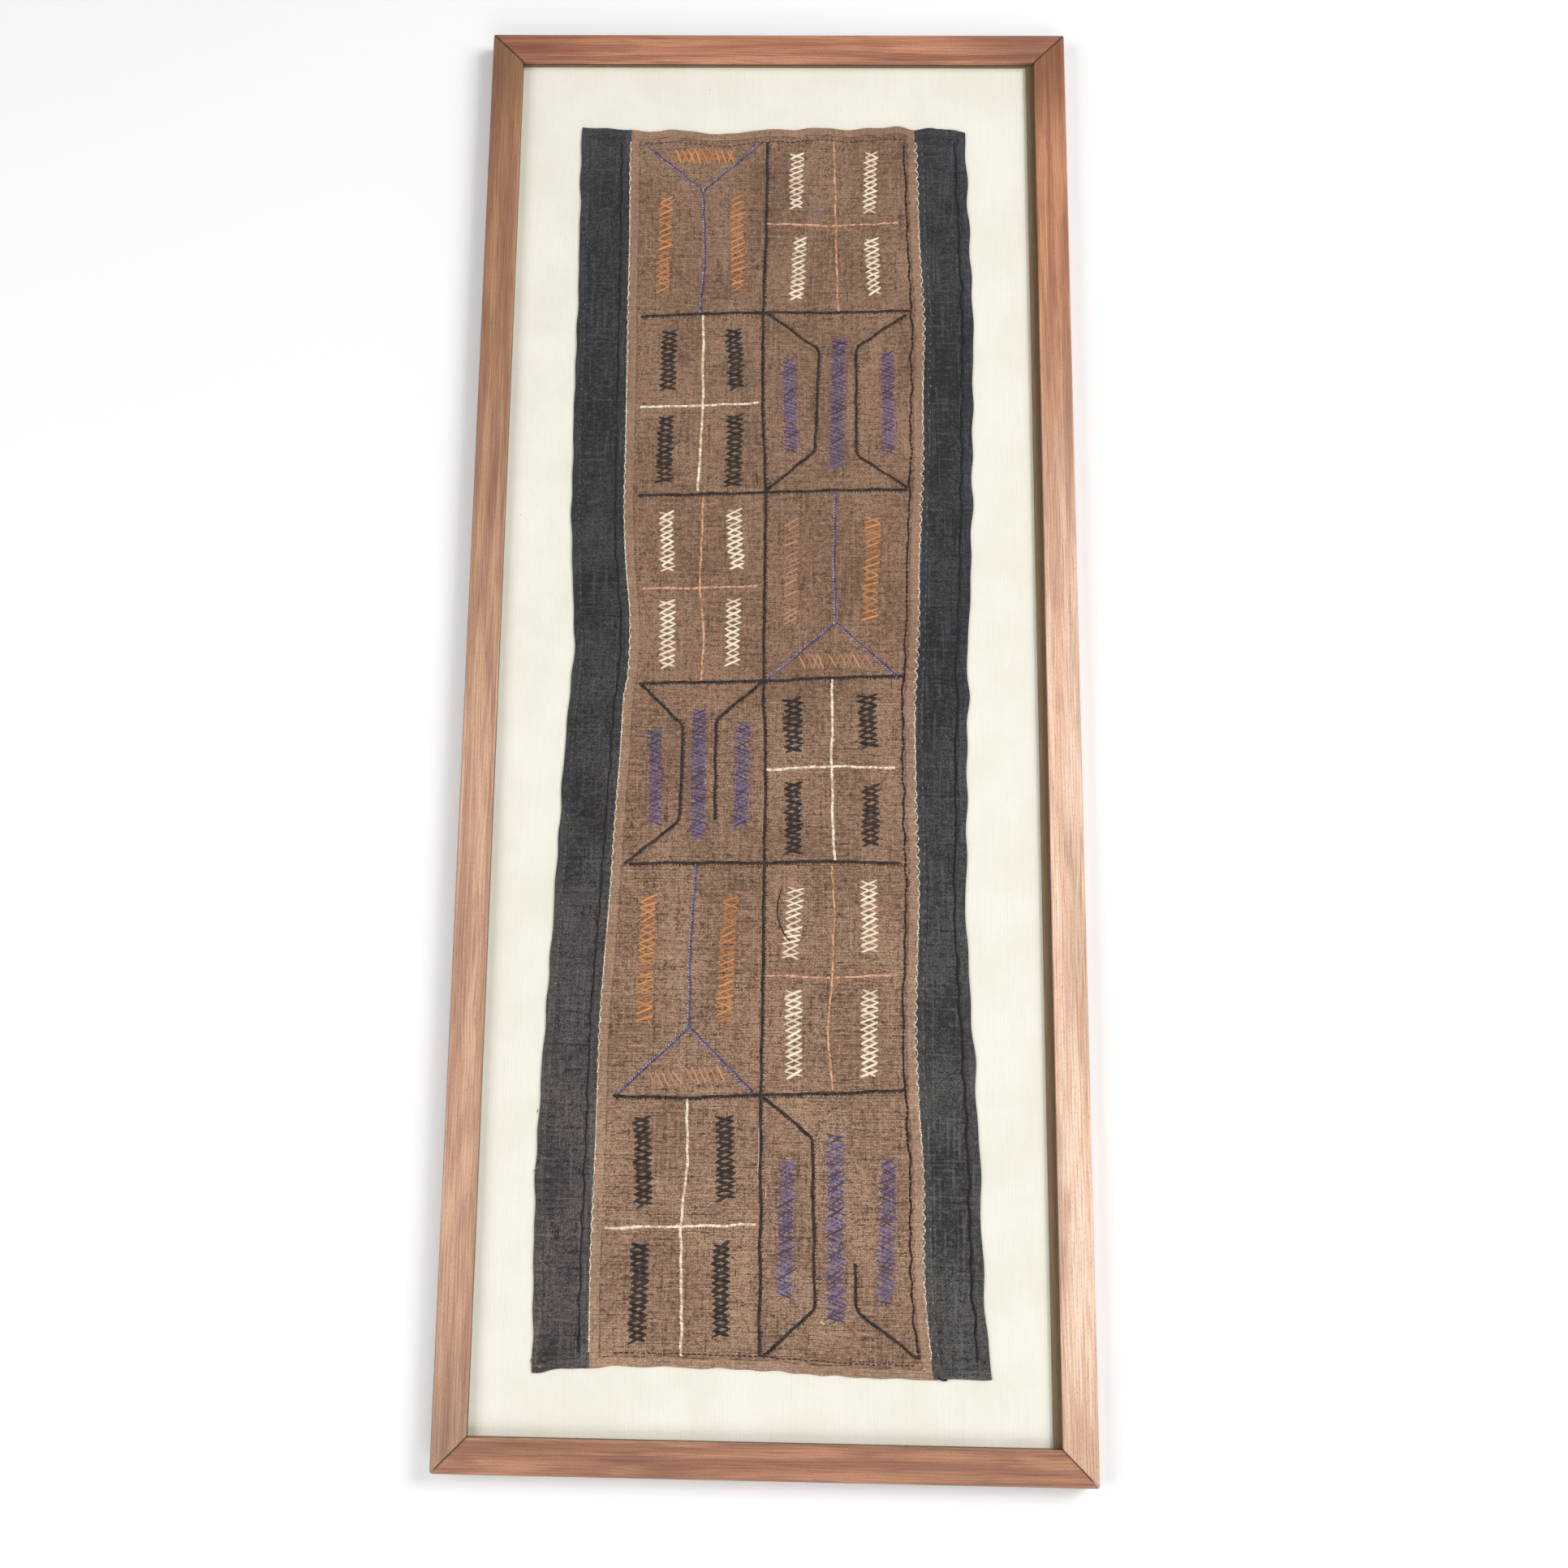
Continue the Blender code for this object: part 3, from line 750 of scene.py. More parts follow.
side_fade = np.exp(-np.abs(from_side - HEM_WIDTH) / PUCKER_REACH)
end_fade = np.exp(-np.abs(from_end - HEM_WIDTH) / PUCKER_REACH)
heights += PUCKER_HEIGHT * side_fade * uneven(X * 0.15, Y, 11, 0.7 * PUCKER_LENGTH, 1.6 * PUCKER_LENGTH)
heights += PUCKER_HEIGHT * end_fade * uneven(X, Y * 0.15, 12, 0.7 * PUCKER_LENGTH, 1.6 * PUCKER_LENGTH)
print(len(FOLDS), "folds")

# %% [markdown]
# Each line of stitches draws the cloth down into a trough. For that, the map first notes how far each
# of its cells lies from the nearest line, and then the trough and the low shoulder on both sides of it
# are two bell curves of that distance. The lines along the hems are pressed in as well.

# %% Troughs under the lines of stitches
TROUGH_DEPTH = 0.28 * MM
TROUGH_WIDTH = 1.5 * MM
SHOULDER_AT = 3.6 * MM
SHOULDER_WIDTH = 1.9 * MM
SHOULDER_HEIGHT = 0.20 * MM
HIGHEST_RISE = 1.6 * MM

LINE_SEED, LINE_SEED_STEP = 100, 7
FAR_AWAY = 1.0

to_stitch = np.full(X.shape, FAR_AWAY)


def press(x, y, reach=8 * MM):
    """Notes how far each cell of the map lies from a line of stitches."""
    span = int(reach / CELL)
    for px, py in zip(x, y):
        column, row = int((px - map_x[0]) / CELL), int((py - map_y[0]) / CELL)
        window = (slice(max(row - span, 0), row + span), slice(max(column - span, 0), column + span))
        np.minimum(to_stitch[window], np.hypot(X[window] - px, Y[window] - py), out=to_stitch[window])


LINE_SEEDS = {}
for yarn, routes in lines.items():
    for number, corners in enumerate(routes):
        LINE_SEEDS[yarn, number] = LINE_SEED + LINE_SEED_STEP * len(LINE_SEEDS)
        x, y, _ = route(corners, 1.0 * MM, LINE_SEEDS[yarn, number])
        press(x, y)

HEM_TOP, HEM_FOOT = 481.5 * MM, -492.5 * MM
HEM_SEED = 300
RIGHT_HEM_NUMBER = 5
RIGHT_HEM_AT, RIGHT_HEM_REACH = -9.0, 0.6
LEFT_HEM_AT, INNER_HEM_AT, OUTER_HEM_AT = 9.0, -8.0, -8.8
pressed = (
    (right_seam, RIGHT_HEM_AT, HEM_SEED + RIGHT_HEM_NUMBER, RIGHT_HEM_REACH),
    (left_seam, LEFT_HEM_AT, HEM_SEED, 0.5),
    (left_seam, INNER_HEM_AT, HEM_SEED, 0.5),
    (right_edge, OUTER_HEM_AT, HEM_SEED, 0.5),
)
for curve, offset, seed, reach in pressed:
    press(*edge_route(curve, HEM_FOOT, HEM_TOP, offset * MM, 1.0 * MM, seed, reach * MM)[:2])
heights -= TROUGH_DEPTH * np.exp(-((to_stitch / TROUGH_WIDTH) ** 2))
heights += SHOULDER_HEIGHT * np.exp(-(((to_stitch - SHOULDER_AT) / SHOULDER_WIDTH) ** 2))
heights = board_top + CLEAR_OF_BOARD + SHEET_THICKNESS + np.clip(heights, 0.0, HIGHEST_RISE)


def cloth_top(x, y):
    """The height of the cloth's face at any place, read between the cells of the map."""
    column = np.clip((x - map_x[0]) / CELL, 0, len(map_x) - 1.001)
    row = np.clip((y - map_y[0]) / CELL, 0, len(map_y) - 1.001)
    c, r = column.astype(int), row.astype(int)
    u, v = column - c, row - r
    low = heights[r, c] * (1 - u) + heights[r, c + 1] * u
    high = heights[r + 1, c] * (1 - u) + heights[r + 1, c + 1] * u
    return low * (1 - v) + high * v


face_range = [round(float(height) / MM, 2) for height in (heights.min(), heights.max())]
print("cloth face between", face_range, "mm")

# %% [markdown]
# Raffia is woven as a plain weave of flat strips, a little over a millimetre wide. Where a strip
# passes over its neighbour it catches the light, and that is painted: a small pale dash on the crown
# of each crossing is a painted highlight, and its sides get a painted shade. The dark gap between the
# rows is painted shade too. One group makes that weave for every length of cloth. The strips vary in
# width and tone, so slow noise bends the grid, and every crossing gets its own tone from its number.

# %% Weave group
weave, given, sent = new_group(
    "raffia_weave",
    [("Vector", "Vector"), ("Pitch Across", "Float"), ("Pitch Down", "Float"), ("Pale", "Color"),
     ("Middle", "Color"), ("Dark", "Color"), ("Coarse", "Float"), ("Slub", "Float"), ("Fleck", "Float")],
    [("Color", "Color"), ("Height", "Float")],
)
bend_x = stretched_noise(weave, given["Vector"], (24.0, 60.0, 1.0), 3.0)
bend_y = stretched_noise(weave, given["Vector"], (50.0, 22.0, 1.0), 3.0)
split = put(weave, "SeparateXYZ", {}, {0: given["Vector"]}).outputs
side = maths(weave, "ADD", split["X"], maths(weave, "MULTIPLY", bend_x, 0.0045))
rise = maths(weave, "ADD", split["Y"], maths(weave, "MULTIPLY", bend_y, 0.0050))
side = maths(weave, "DIVIDE", side, given["Pitch Across"])
rise = maths(weave, "DIVIDE", rise, given["Pitch Down"])
column, row = maths(weave, "FLOOR", side), maths(weave, "FLOOR", rise)
crossing = put(weave, "CombineXYZ", {}, {0: column, 1: row}).outputs[0]
own_tone = put(weave, "TexWhiteNoise", {"noise_dimensions": "2D"}, {"Vector": crossing}).outputs["Value"]
warp_over = maths(weave, "MODULO", maths(weave, "ABSOLUTE", maths(weave, "ADD", column, row)), 2.0)
across = maths(weave, "ABSOLUTE", maths(weave, "SINE", maths(weave, "MULTIPLY", side, math.pi)))
down = maths(weave, "ABSOLUTE", maths(weave, "SINE", maths(weave, "MULTIPLY", rise, math.pi)))
crown = soft_step(weave, maths(weave, "MULTIPLY", across, down), 0.05, 0.75)
rib = maths(weave, "ABSOLUTE", maths(weave, "SINE", maths(weave, "MULTIPLY", rise, math.pi / 2)))
row_gap = maths(weave, "MAXIMUM", soft_step(weave, rib, 0.50, 0.0), soft_share(weave, down, 0.5, 0.0, 0.35))
row_tone = stretched_noise(weave, given["Vector"], (32.0, 520.0, 1.0), 2.0)
column_tone = stretched_noise(weave, given["Vector"], (470.0, 26.0, 1.0), 2.0)
patch = stretched_noise(weave, given["Vector"], (18.0, 13.0, 1.0), 3.0, 0.6)
fleck = stretched_noise(weave, given["Vector"], (230.0, 330.0, 1.0), 2.0)
shown = maths(weave, "ADD", maths(weave, "MULTIPLY", warp_over, 0.75), 0.25)
shown = maths(weave, "MULTIPLY", shown, soft_step(weave, own_tone, 0.20, 0.85))
shown = maths(weave, "MULTIPLY", shown, soft_step(weave, maths(weave, "ADD", fleck, patch), 0.70, 1.20))
# Painted highlight: a pale dash on the crown of each crossing.
crown_highlight = maths(weave, "MULTIPLY", shown, crown)
# Painted shade: the dark gap between the rows.
gap = maths(weave, "MULTIPLY", row_gap, soft_share(weave, row_tone, 0.80, 0.35, given["Coarse"]))
dull = soft_share(weave, own_tone, 0.55, 0.0, 0.45)
dull = maths(weave, "ADD", dull, soft_share(weave, fleck, 0.46, 0.26, given["Fleck"]))
thin_row, thin_column = soft_step(weave, row_tone, 0.47, 0.30), soft_step(weave, column_tone, 0.45, 0.30)
thin = maths(weave, "ADD", thin_row, thin_column)
dull = maths(weave, "ADD", dull, maths(weave, "MULTIPLY", thin, given["Slub"]))
dull = maths(weave, "ADD", dull, soft_share(weave, patch, 0.50, 0.28, 0.08))
dull = maths(weave, "MINIMUM", dull, 0.85)
shade = maths(weave, "MULTIPLY", maths(weave, "SUBTRACT", 1.0, crown), 0.45)
tone = mix(weave, soft_share(weave, patch, 0.40, 0.68, 0.27), given["Middle"], given["Pale"])
tone = mix(weave, soft_share(weave, fleck, 0.50, 0.72, given["Fleck"]), tone, given["Pale"])
tone = mix(weave, soft_share(weave, column_tone, 0.52, 0.72, given["Slub"]), tone, given["Pale"])
tone = mix(weave, soft_share(weave, row_tone, 0.56, 0.74, given["Slub"]), tone, given["Pale"])
tone = mix(weave, maths(weave, "MAXIMUM", dull, shade), tone, given["Dark"])
tone = mix(weave, gap, tone, given["Dark"])
tone = mix(weave, crown_highlight, tone, given["Pale"])
weave.links.new(tone, sent["Color"])
lift = maths(weave, "ADD", crown, maths(weave, "MULTIPLY", own_tone, 0.4))
weave.links.new(maths(weave, "SUBTRACT", lift, gap), sent["Height"])
print("weave group has", len(weave.nodes), "nodes")

# %% [markdown]
# Six lengths of cloth share the weave with their own tones. The upper brown length is the
# paler and finer; the lower one is redder with coarse rows. The borders are charcoal. Towards the
# foot the cloth grows paler, the left border most of all, where it also turns brownish. Each point
# of a sheet knows how far it lies from the nearest edge, so the finish can draw the hem: a double
# layer, puckered across, made paler by a painted highlight, that ends in a fine crease drawn as a
# painted shade.

# %% Cloth finishes
Finish = namedtuple(
    "Finish",
    "pale middle dark foot_pale foot_middle pitch_across pitch_down coarse slub fleck bump hem",
)
BROWN_UPPER = Finish(
    "cea486", "8f6c53", "483124", "cea486", "8f6d57",
    1.14, 1.12, 0.70, 0.45, 0.42, 0.9, 0.24,
)
BROWN_LOWER = Finish(
    "dcb090", "98745a", "422b1f", "e5bc9c", "a78167",
    1.20, 1.24, 1.00, 0.42, 0.45, 1.0, 0.22,
)
CHARCOAL_LEFT = Finish(
    "5e5c5e", "1a191b", "080709", "877b76", "433c3b",
    1.10, 1.05, 0.50, 0.58, 0.32, 0.7, 0.08,
)
CHARCOAL_RIGHT = Finish(
    "5f5d63", "131214", "070608", "7f7876", "343132",
    1.10, 1.05, 0.55, 0.68, 0.34, 0.8, 0.08,
)
CREASE_AT = 7.2 * MM
CREASE_WIDTH = 0.8 * MM
SWELL = 3.8
STAIN_PLACE = (0.033, 0.420)
STAIN_SIZE = (0.0035, 0.0065)


def cloth_material(name, finish, stained=False):
    material, tree, shader, place = new_material(name, 0.88)
    shader.inputs["Sheen Weight"].default_value = 0.12
    shader.inputs["Specular IOR Level"].default_value = 0.28
    rise = put(tree, "SeparateXYZ", {}, {0: place}).outputs["Y"]
    foot = soft_step(tree, rise, 0.10, -0.45)
    tones = {"Pale": mix(tree, foot, paint(finish.pale), paint(finish.foot_pale))}
    tones["Middle"] = mix(tree, foot, paint(finish.middle), paint(finish.foot_middle))
    sizes = {"Pitch Across": finish.pitch_across * MM, "Pitch Down": finish.pitch_down * MM}
    tones["Dark"] = paint(finish.dark)
    strengths = {"Coarse": finish.coarse, "Slub": finish.slub, "Fleck": finish.fleck}
    woven = put(tree, "Group", {"node_tree": weave}, {"Vector": place, **tones, **sizes, **strengths})
    colour = woven.outputs["Color"]
    to_edge = put(tree, "Attribute", {"attribute_name": "edge_distance"}).outputs["Fac"]
    off_crease = maths(tree, "ABSOLUTE", maths(tree, "SUBTRACT", to_edge, CREASE_AT))
    crease = soft_step(tree, off_crease, CREASE_WIDTH, 0.0)
    crease_breaks = stretched_noise(tree, place, (90.0, 90.0, 1.0), 2.0)
    crease = maths(tree, "MULTIPLY", crease, soft_step(tree, crease_breaks, 0.25, 0.6))
    hemmed = soft_step(tree, to_edge, CREASE_AT + CREASE_WIDTH, CREASE_AT - CREASE_WIDTH)
    # Painted highlight: the raised hem band is made paler.
    colour = mix(tree, maths(tree, "MULTIPLY", hemmed, finish.hem), colour, tones["Pale"])
    # Painted shade: a dark line along the hem's crease, broken up by noise.
    colour = mix(tree, maths(tree, "MULTIPLY", crease, 0.50), colour, paint(finish.dark))
    if stained:
        away = put(tree, "VectorMath", {"operation": "SUBTRACT"}, {0: place, 1: (*STAIN_PLACE, board_top)})
        reach = tuple(1 / size for size in (*STAIN_SIZE, 1.0))
        scaled = put(tree, "VectorMath", {"operation": "MULTIPLY"}, {0: away.outputs[0], 1: reach})
        distance = put(tree, "VectorMath", {"operation": "LENGTH"}, {0: scaled.outputs[0]}).outputs["Value"]
        colour = mix(tree, soft_share(tree, distance, 1.6, 0.3, 0.55), colour, paint("6d6f78"))
    tree.links.new(colour, shader.inputs["Base Color"])
    pucker = stretched_noise(tree, place, (150.0, 150.0, 1.0), 1.0)
    swell = stretched_noise(tree, place, (46.0, 40.0, 1.0), 2.0, 0.8)
    fold = maths(tree, "MULTIPLY", pucker, maths(tree, "ADD", hemmed, 0.35))
    fold = maths(tree, "SUBTRACT", fold, crease)
    fold = maths(tree, "ADD", fold, maths(tree, "MULTIPLY", swell, SWELL))
    soft = put(tree, "Bump", {}, {"Height": fold, "Strength": 0.8, "Distance": 0.0009})
    sockets = {"Height": woven.outputs["Height"], "Strength": finish.bump, "Distance": 0.0003}
    bump = put(tree, "Bump", {}, {**sockets, "Normal": soft.outputs["Normal"]})
    tree.links.new(bump.outputs["Normal"], shader.inputs["Normal"])
    return material


print("cloth finishes ready")

# %% [markdown]
# Three small functions shape the edges of a length of cloth. The outermost lines of its grid crowd
# together, so that the hem can round over there. The panel's long edges bulge between the whip
# stitches. And each point stores how far it lies from the nearest hemmed edge, which the finish reads.

# %% Edges of the cloth
GRID_STEP = 2.1 * MM
EDGE_LINES = np.array([0.35, 1.0]) * MM
EDGE_DROP = 0.75 * MM
SECOND_DROP = 0.16 * MM
LAP = 0.3 * MM
SCALLOP_PITCH = 8.6 * MM
SCALLOP_REACH = 1.9 * MM


def crowd(share, count, size):
    """Moves the outermost grid lines close to the edge."""
    even = np.linspace(0, 1, count + 1)
    places = even.copy()
    places[1:3] = EDGE_LINES / size
    places[-3:-1] = 1 - EDGE_LINES[::-1] / size
    return np.interp(share, even, places)


def scallop(y):
    """The brown panel's long edges bulge between the whip stitches that draw them in."""
    bulge = np.abs(np.sin(math.pi * y / SCALLOP_PITCH)) ** 0.8 - 0.5
    return SCALLOP_REACH * bulge * (1 + 0.5 * np.sin(y / (23 * MM)))


def edge_distance(piece, edges, hemmed_ends):
    """Stores how far each point lies from the nearest hemmed edge."""
    left, right, foot, top = edges
    places = np.empty(len(piece.data.vertices) * 3, np.float32)
    piece.data.vertices.foreach_get("co", places)
    x, y, _ = places.reshape(-1, 3).astype(float).T
    nearest = np.minimum(x - left(y), right(y) - x)
    if "foot" in hemmed_ends:
        nearest = np.minimum(nearest, y - foot(x))
    if "top" in hemmed_ends:
        nearest = np.minimum(nearest, top(x) - y)
    values = np.maximum(nearest, 0).astype(np.float32)
    piece.data.attributes.new("edge_distance", "FLOAT", "POINT").data.foreach_set("value", values)


print("outermost grid lines", EDGE_LINES / MM, "mm from the edge")

# %% [markdown]
# One function lays any of the six lengths. It starts as a flat grid, whose points are moved to lie
# between four edge curves and lifted by the map of heights. A Solidify modifier gives the cloth its
# thickness, and the underside is pressed flat where it would sink into the mount.

# %% One length of cloth
EDGE_ROUNDS = 4
CLEAR_UNDERSIDE = 0.1 * MM
MAP_RIM = 10


def make_sheet(node, edges, lap, material):
    """One length of cloth between four edge curves: left, right, foot and top."""
    left, right, foot, top = edges
    low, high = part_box(node)
    columns, rows = (max(int((high[axis] - low[axis]) / GRID_STEP), 8) for axis in (0, 1))
    bpy.ops.object.select_all(action="DESELECT")
    bpy.ops.mesh.primitive_grid_add(x_subdivisions=columns, y_subdivisions=rows, size=1.0)
    piece = bpy.context.object
    piece.name = node + "_cloth"
    places = np.empty(len(piece.data.vertices) * 3, np.float32)
    piece.data.vertices.foreach_get("co", places)
    places = places.reshape(-1, 3).astype(float)
    ring_x = np.rint((places[:, 0] + 0.5) * columns)
    ring_y = np.rint((places[:, 1] + 0.5) * rows)
    share_x = crowd(places[:, 0] + 0.5, columns, high.x - low.x)
    share_y = crowd(places[:, 1] + 0.5, rows, high.y - low.y)
    x, y = np.zeros(len(places)), np.full(len(places), (low.y + high.y) / 2)
    for _ in range(EDGE_ROUNDS):
        x = left(y) - lap[0] + share_x * (right(y) + lap[1] - left(y) + lap[0])
        y = foot(x) - lap[2] + share_y * (top(x) + lap[3] - foot(x) + lap[2])
    ring = np.minimum(np.minimum(ring_x, columns - ring_x), np.minimum(ring_y, rows - ring_y))
    z = cloth_top(x, y) - EDGE_DROP * (ring == 0) - SECOND_DROP * (ring == 1)
    piece.data.vertices.foreach_set("co", np.stack([x, y, z], axis=1).ravel())
    piece.data.update()
    solid = piece.modifiers.new("thickness", "SOLIDIFY")
    solid.thickness = SHEET_THICKNESS
    solid.offset = -1.0
    bpy.ops.object.modifier_apply(modifier=solid.name)
    places = np.empty(len(piece.data.vertices) * 3, np.float32)
    piece.data.vertices.foreach_get("co", places)
    places[2::3] = np.maximum(places[2::3], board_top + CLEAR_UNDERSIDE)
    piece.data.vertices.foreach_set("co", places)
    edge_distance(piece, edges, "top" if node.endswith("upper") else "foot")
    piece.data.materials.clear()
    piece.data.materials.append(material)
    bpy.ops.object.shade_smooth()
    piece.location = (0, 0, 0)
    inner = map_y[MAP_RIM:-MAP_RIM]
    width = float(np.mean(right(inner) - left(inner)))
    length = float(np.mean(top(x) - foot(x)))
    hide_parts(node)
    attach(piece, "root")
    print(piece.name, round(width / MM), "x", round(length / MM), "mm,", len(piece.data.polygons), "faces")


print("sheet maker ready")

# %% [markdown]
# The panel's long edges bulge between the whip stitches, less on the left than on the right. The outer
# edges have small slow waves, where pulled stitches drew them in. Neighbouring lengths lap over each
# other a little, so no mount shows between them.

# %% The six lengths
def wavy_left(y):
    return left_seam(y) - scallop(y) * 0.5


def wavy_right(y):
    return right_seam(y) + scallop(y)


RIPPLE = 0.5 * MM


def rippled(curve, seed, reach, shortest, longest):
    """An outer edge with the small waves that pulled stitches leave."""
    marks = np.arange(-0.6, 0.6, 1.0 * MM)
    swing = waver(seed, marks, reach, shortest, longest)
    return lambda at: curve(at) + np.interp(at, marks, swing)


outer_left = rippled(left_edge, 81, RIPPLE, 14 * MM, 80 * MM)
outer_right = rippled(right_edge, 82, 1.6 * RIPPLE, 30 * MM, 75 * MM)
outer_top = rippled(top_edge, 83, RIPPLE, 12 * MM, 50 * MM)
outer_foot = rippled(foot_edge, 84, RIPPLE, 12 * MM, 50 * MM)
BANDS = (
    ("panel", wavy_left, wavy_right, (0.4, 0.4), "raffia_brown", (BROWN_UPPER, BROWN_LOWER)),
    ("border_left", outer_left, left_seam, (0.0, 0.2), "raffia_charcoal", (CHARCOAL_LEFT,) * 2),
    ("border_right", right_seam, outer_right, (0.2, 0.0), "raffia_charcoal", (CHARCOAL_RIGHT,) * 2),
)
for name, left, right, (lap_left, lap_right), slot, (upper, lower) in BANDS:
    lap = [lap_left * MM, lap_right * MM]
    joint = joints[name]
    upper_look = cloth_material(name + "_upper_weave", upper, stained=name == "panel")
    lower_look = cloth_material(name + "_lower_weave", lower)
    make_sheet(name + "_upper", (left, right, joint, outer_top), lap + [LAP, 0], upper_look)
    make_sheet(name + "_lower", (left, right, outer_foot, joint), lap + [0, LAP], lower_look)

# %% [markdown]
# Every stitch here is the same small thing: a flat strand of raffia comes up through the cloth, lies
# over it and goes down again. So it is modelled once. A circle is squashed into the strand's flat
# section, and the Spin tool sweeps it over half a turn, which leaves an arch one unit long. All
# stitches are copies of that arch, stretched, turned and laid on the cloth.

# %% One strand, modelled
def model_strand(name, sides, steps, thickness):
    """An arch one unit long and one wide whose top is one unit high, as arrays of points and triangles."""
    bpy.ops.object.select_all(action="DESELECT")
    spine = 0.5 - thickness / 2
    bpy.ops.mesh.primitive_circle_add(vertices=sides, radius=0.5, fill_type="NGON")
    piece = bpy.context.object
    piece.name = name
    bpy.ops.object.mode_set(mode="EDIT")
    bpy.ops.mesh.select_all(action="SELECT")
    bpy.ops.transform.resize(value=(thickness, 1.0, 1.0))
    bpy.ops.transform.translate(value=(spine, 0.0, 0.0))
    bpy.ops.mesh.spin(steps=steps, angle=math.pi, center=(0, 0, 0), axis=(0, 1, 0))
    bpy.ops.mesh.select_all(action="SELECT")
    bpy.ops.mesh.remove_doubles(threshold=0.0001)
    bpy.ops.mesh.fill_holes(sides=sides)
    bpy.ops.transform.resize(value=(1.0, 1.0, 2.0))
    bpy.ops.mesh.normals_make_consistent(inside=False)
    bpy.ops.mesh.quads_convert_to_tris()
    bpy.ops.object.mode_set(mode="OBJECT")
    points = np.array([corner.co for corner in piece.data.vertices])
    faces = np.array([list(face.vertices) for face in piece.data.polygons])
    bpy.data.objects.remove(piece, do_unlink=True)
    return points, faces


strand = model_strand("strand", sides=6, steps=8, thickness=0.30)
bead = model_strand("bead", sides=5, steps=4, thickness=0.55)
speck_shape = model_strand("speck", sides=4, steps=3, thickness=0.7)
print("strand", len(strand[1]), "bead", len(bead[1]), "speck", len(speck_shape[1]), "triangles")

# %% [markdown]
# A work basket collects the stitches of one yarn. Laying a stitch stretches and turns the arch,
# and then adds the cloth's height at every one of its points, so that even a long strand follows the
# folds. Sewing turns the whole basket into one mesh. Each stitch carries its own tone as an
# attribute, because no two strands of raffia take the dye alike.

# %% The work basket
SINK = 0.22
CLEAR_OF_GLASS = 0.05 * MM


class Basket:
    """Stitches of one yarn, gathered until they are sewn as one piece."""

    def __init__(self, name, seed):
        self.name = name
        self.chance = np.random.default_rng(seed)
        self.points, self.faces, self.tones, self.count = [], [], [], 0

    def lay(self, shape, x, y, turn, length, width, height, lift=0.0, tone=None):
        """Lays copies of one shape; every size may be a number or one value for each stitch."""
        x = np.atleast_1d(x)
        sizes = (y, turn, length, width, height, lift)
        y, turn, length, width, height, lift = (
            np.broadcast_to(np.asarray(value, float), x.shape)[:, None] for value in sizes
        )
        corners, faces = shape
        along, aside = corners[None, :, 0] * length, corners[None, :, 1] * width
        px = x[:, None] + along * np.cos(turn) - aside * np.sin(turn)
        py = y + along * np.sin(turn) + aside * np.cos(turn)
        pz = cloth_top(px, py) + (corners[None, :, 2] - SINK) * height + lift * corners[None, :, 2]
        tones = self.chance.uniform(0, 1, len(x)) if tone is None else np.broadcast_to(tone, x.shape)
        starts = self.count + np.arange(len(x)) * len(corners)
        self.points.append(np.stack([px, py, pz], axis=-1).reshape(-1, 3))
        self.faces.append((starts[:, None, None] + faces[None]).reshape(-1, 3))
        self.tones.append(np.repeat(tones, len(corners)))
        self.count += len(x) * len(corners)

    def jitter(self, count, reach):
        return self.chance.uniform(-reach, reach, count)

    def sew(self, material):
        points, faces = np.concatenate(self.points), np.concatenate(self.faces)
        points[:, 2] = np.minimum(points[:, 2], glass_underside - CLEAR_OF_GLASS)
        mesh = bpy.data.meshes.new(self.name)
        mesh.vertices.add(len(points))
        mesh.vertices.foreach_set("co", points.astype(np.float32).ravel())
        mesh.loops.add(faces.size)
        mesh.loops.foreach_set("vertex_index", faces.astype(np.int32).ravel())
        mesh.polygons.add(len(faces))
        mesh.polygons.foreach_set("loop_start", np.arange(0, faces.size, 3, dtype=np.int32))
        mesh.update(calc_edges=True)
        mesh.validate()
        mesh.shade_smooth()
        tones = np.concatenate(self.tones).astype(np.float32)
        mesh.attributes.new("tone", "FLOAT", "POINT").data.foreach_set("value", tones)
        mesh.materials.append(material)
        piece = bpy.data.objects.new(self.name, mesh)
        bpy.context.scene.collection.objects.link(piece)
        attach(piece, "root")
        print(self.name, len(faces), "triangles")


print("work basket ready")

# %% [markdown]
# The yarns are raffia too, dyed and split fine. Their colour runs between a dark and a pale tone
# by the stitch's own attribute and by fine streaks. They are matt, with hardly a shine.

# %% Yarn finishes
YARNS = {
    "black": ("17110f", "3d322d"),
    "natural": ("c9a783", "fbeedb"),
    "salmon": ("a56c4c", "e9b595"),
    "orange": ("8d522b", "df965a"),
    "rust": ("80563f", "cc9c7c"),
    "purple": ("35283f", "7c6e99"),
    "indigo": ("3b2d49", "877aa2"),
    "plum": ("382c3d", "665a71"),
    "lilac": ("837996", "bdb5ca"),
    "whip": ("c2a98c", "f4e9d6"),
    "oxblood": ("200f0d", "3d211b"),
    "ink": ("070608", "171619"),
    "ash": ("6d6a6a", "a5a2a0"),
    "fawn": ("94755c", "cba888"),
    # Not a yarn: the tone of the painted shade in the needle holes.
    "needle": ("1f1510", "33231b"),
}


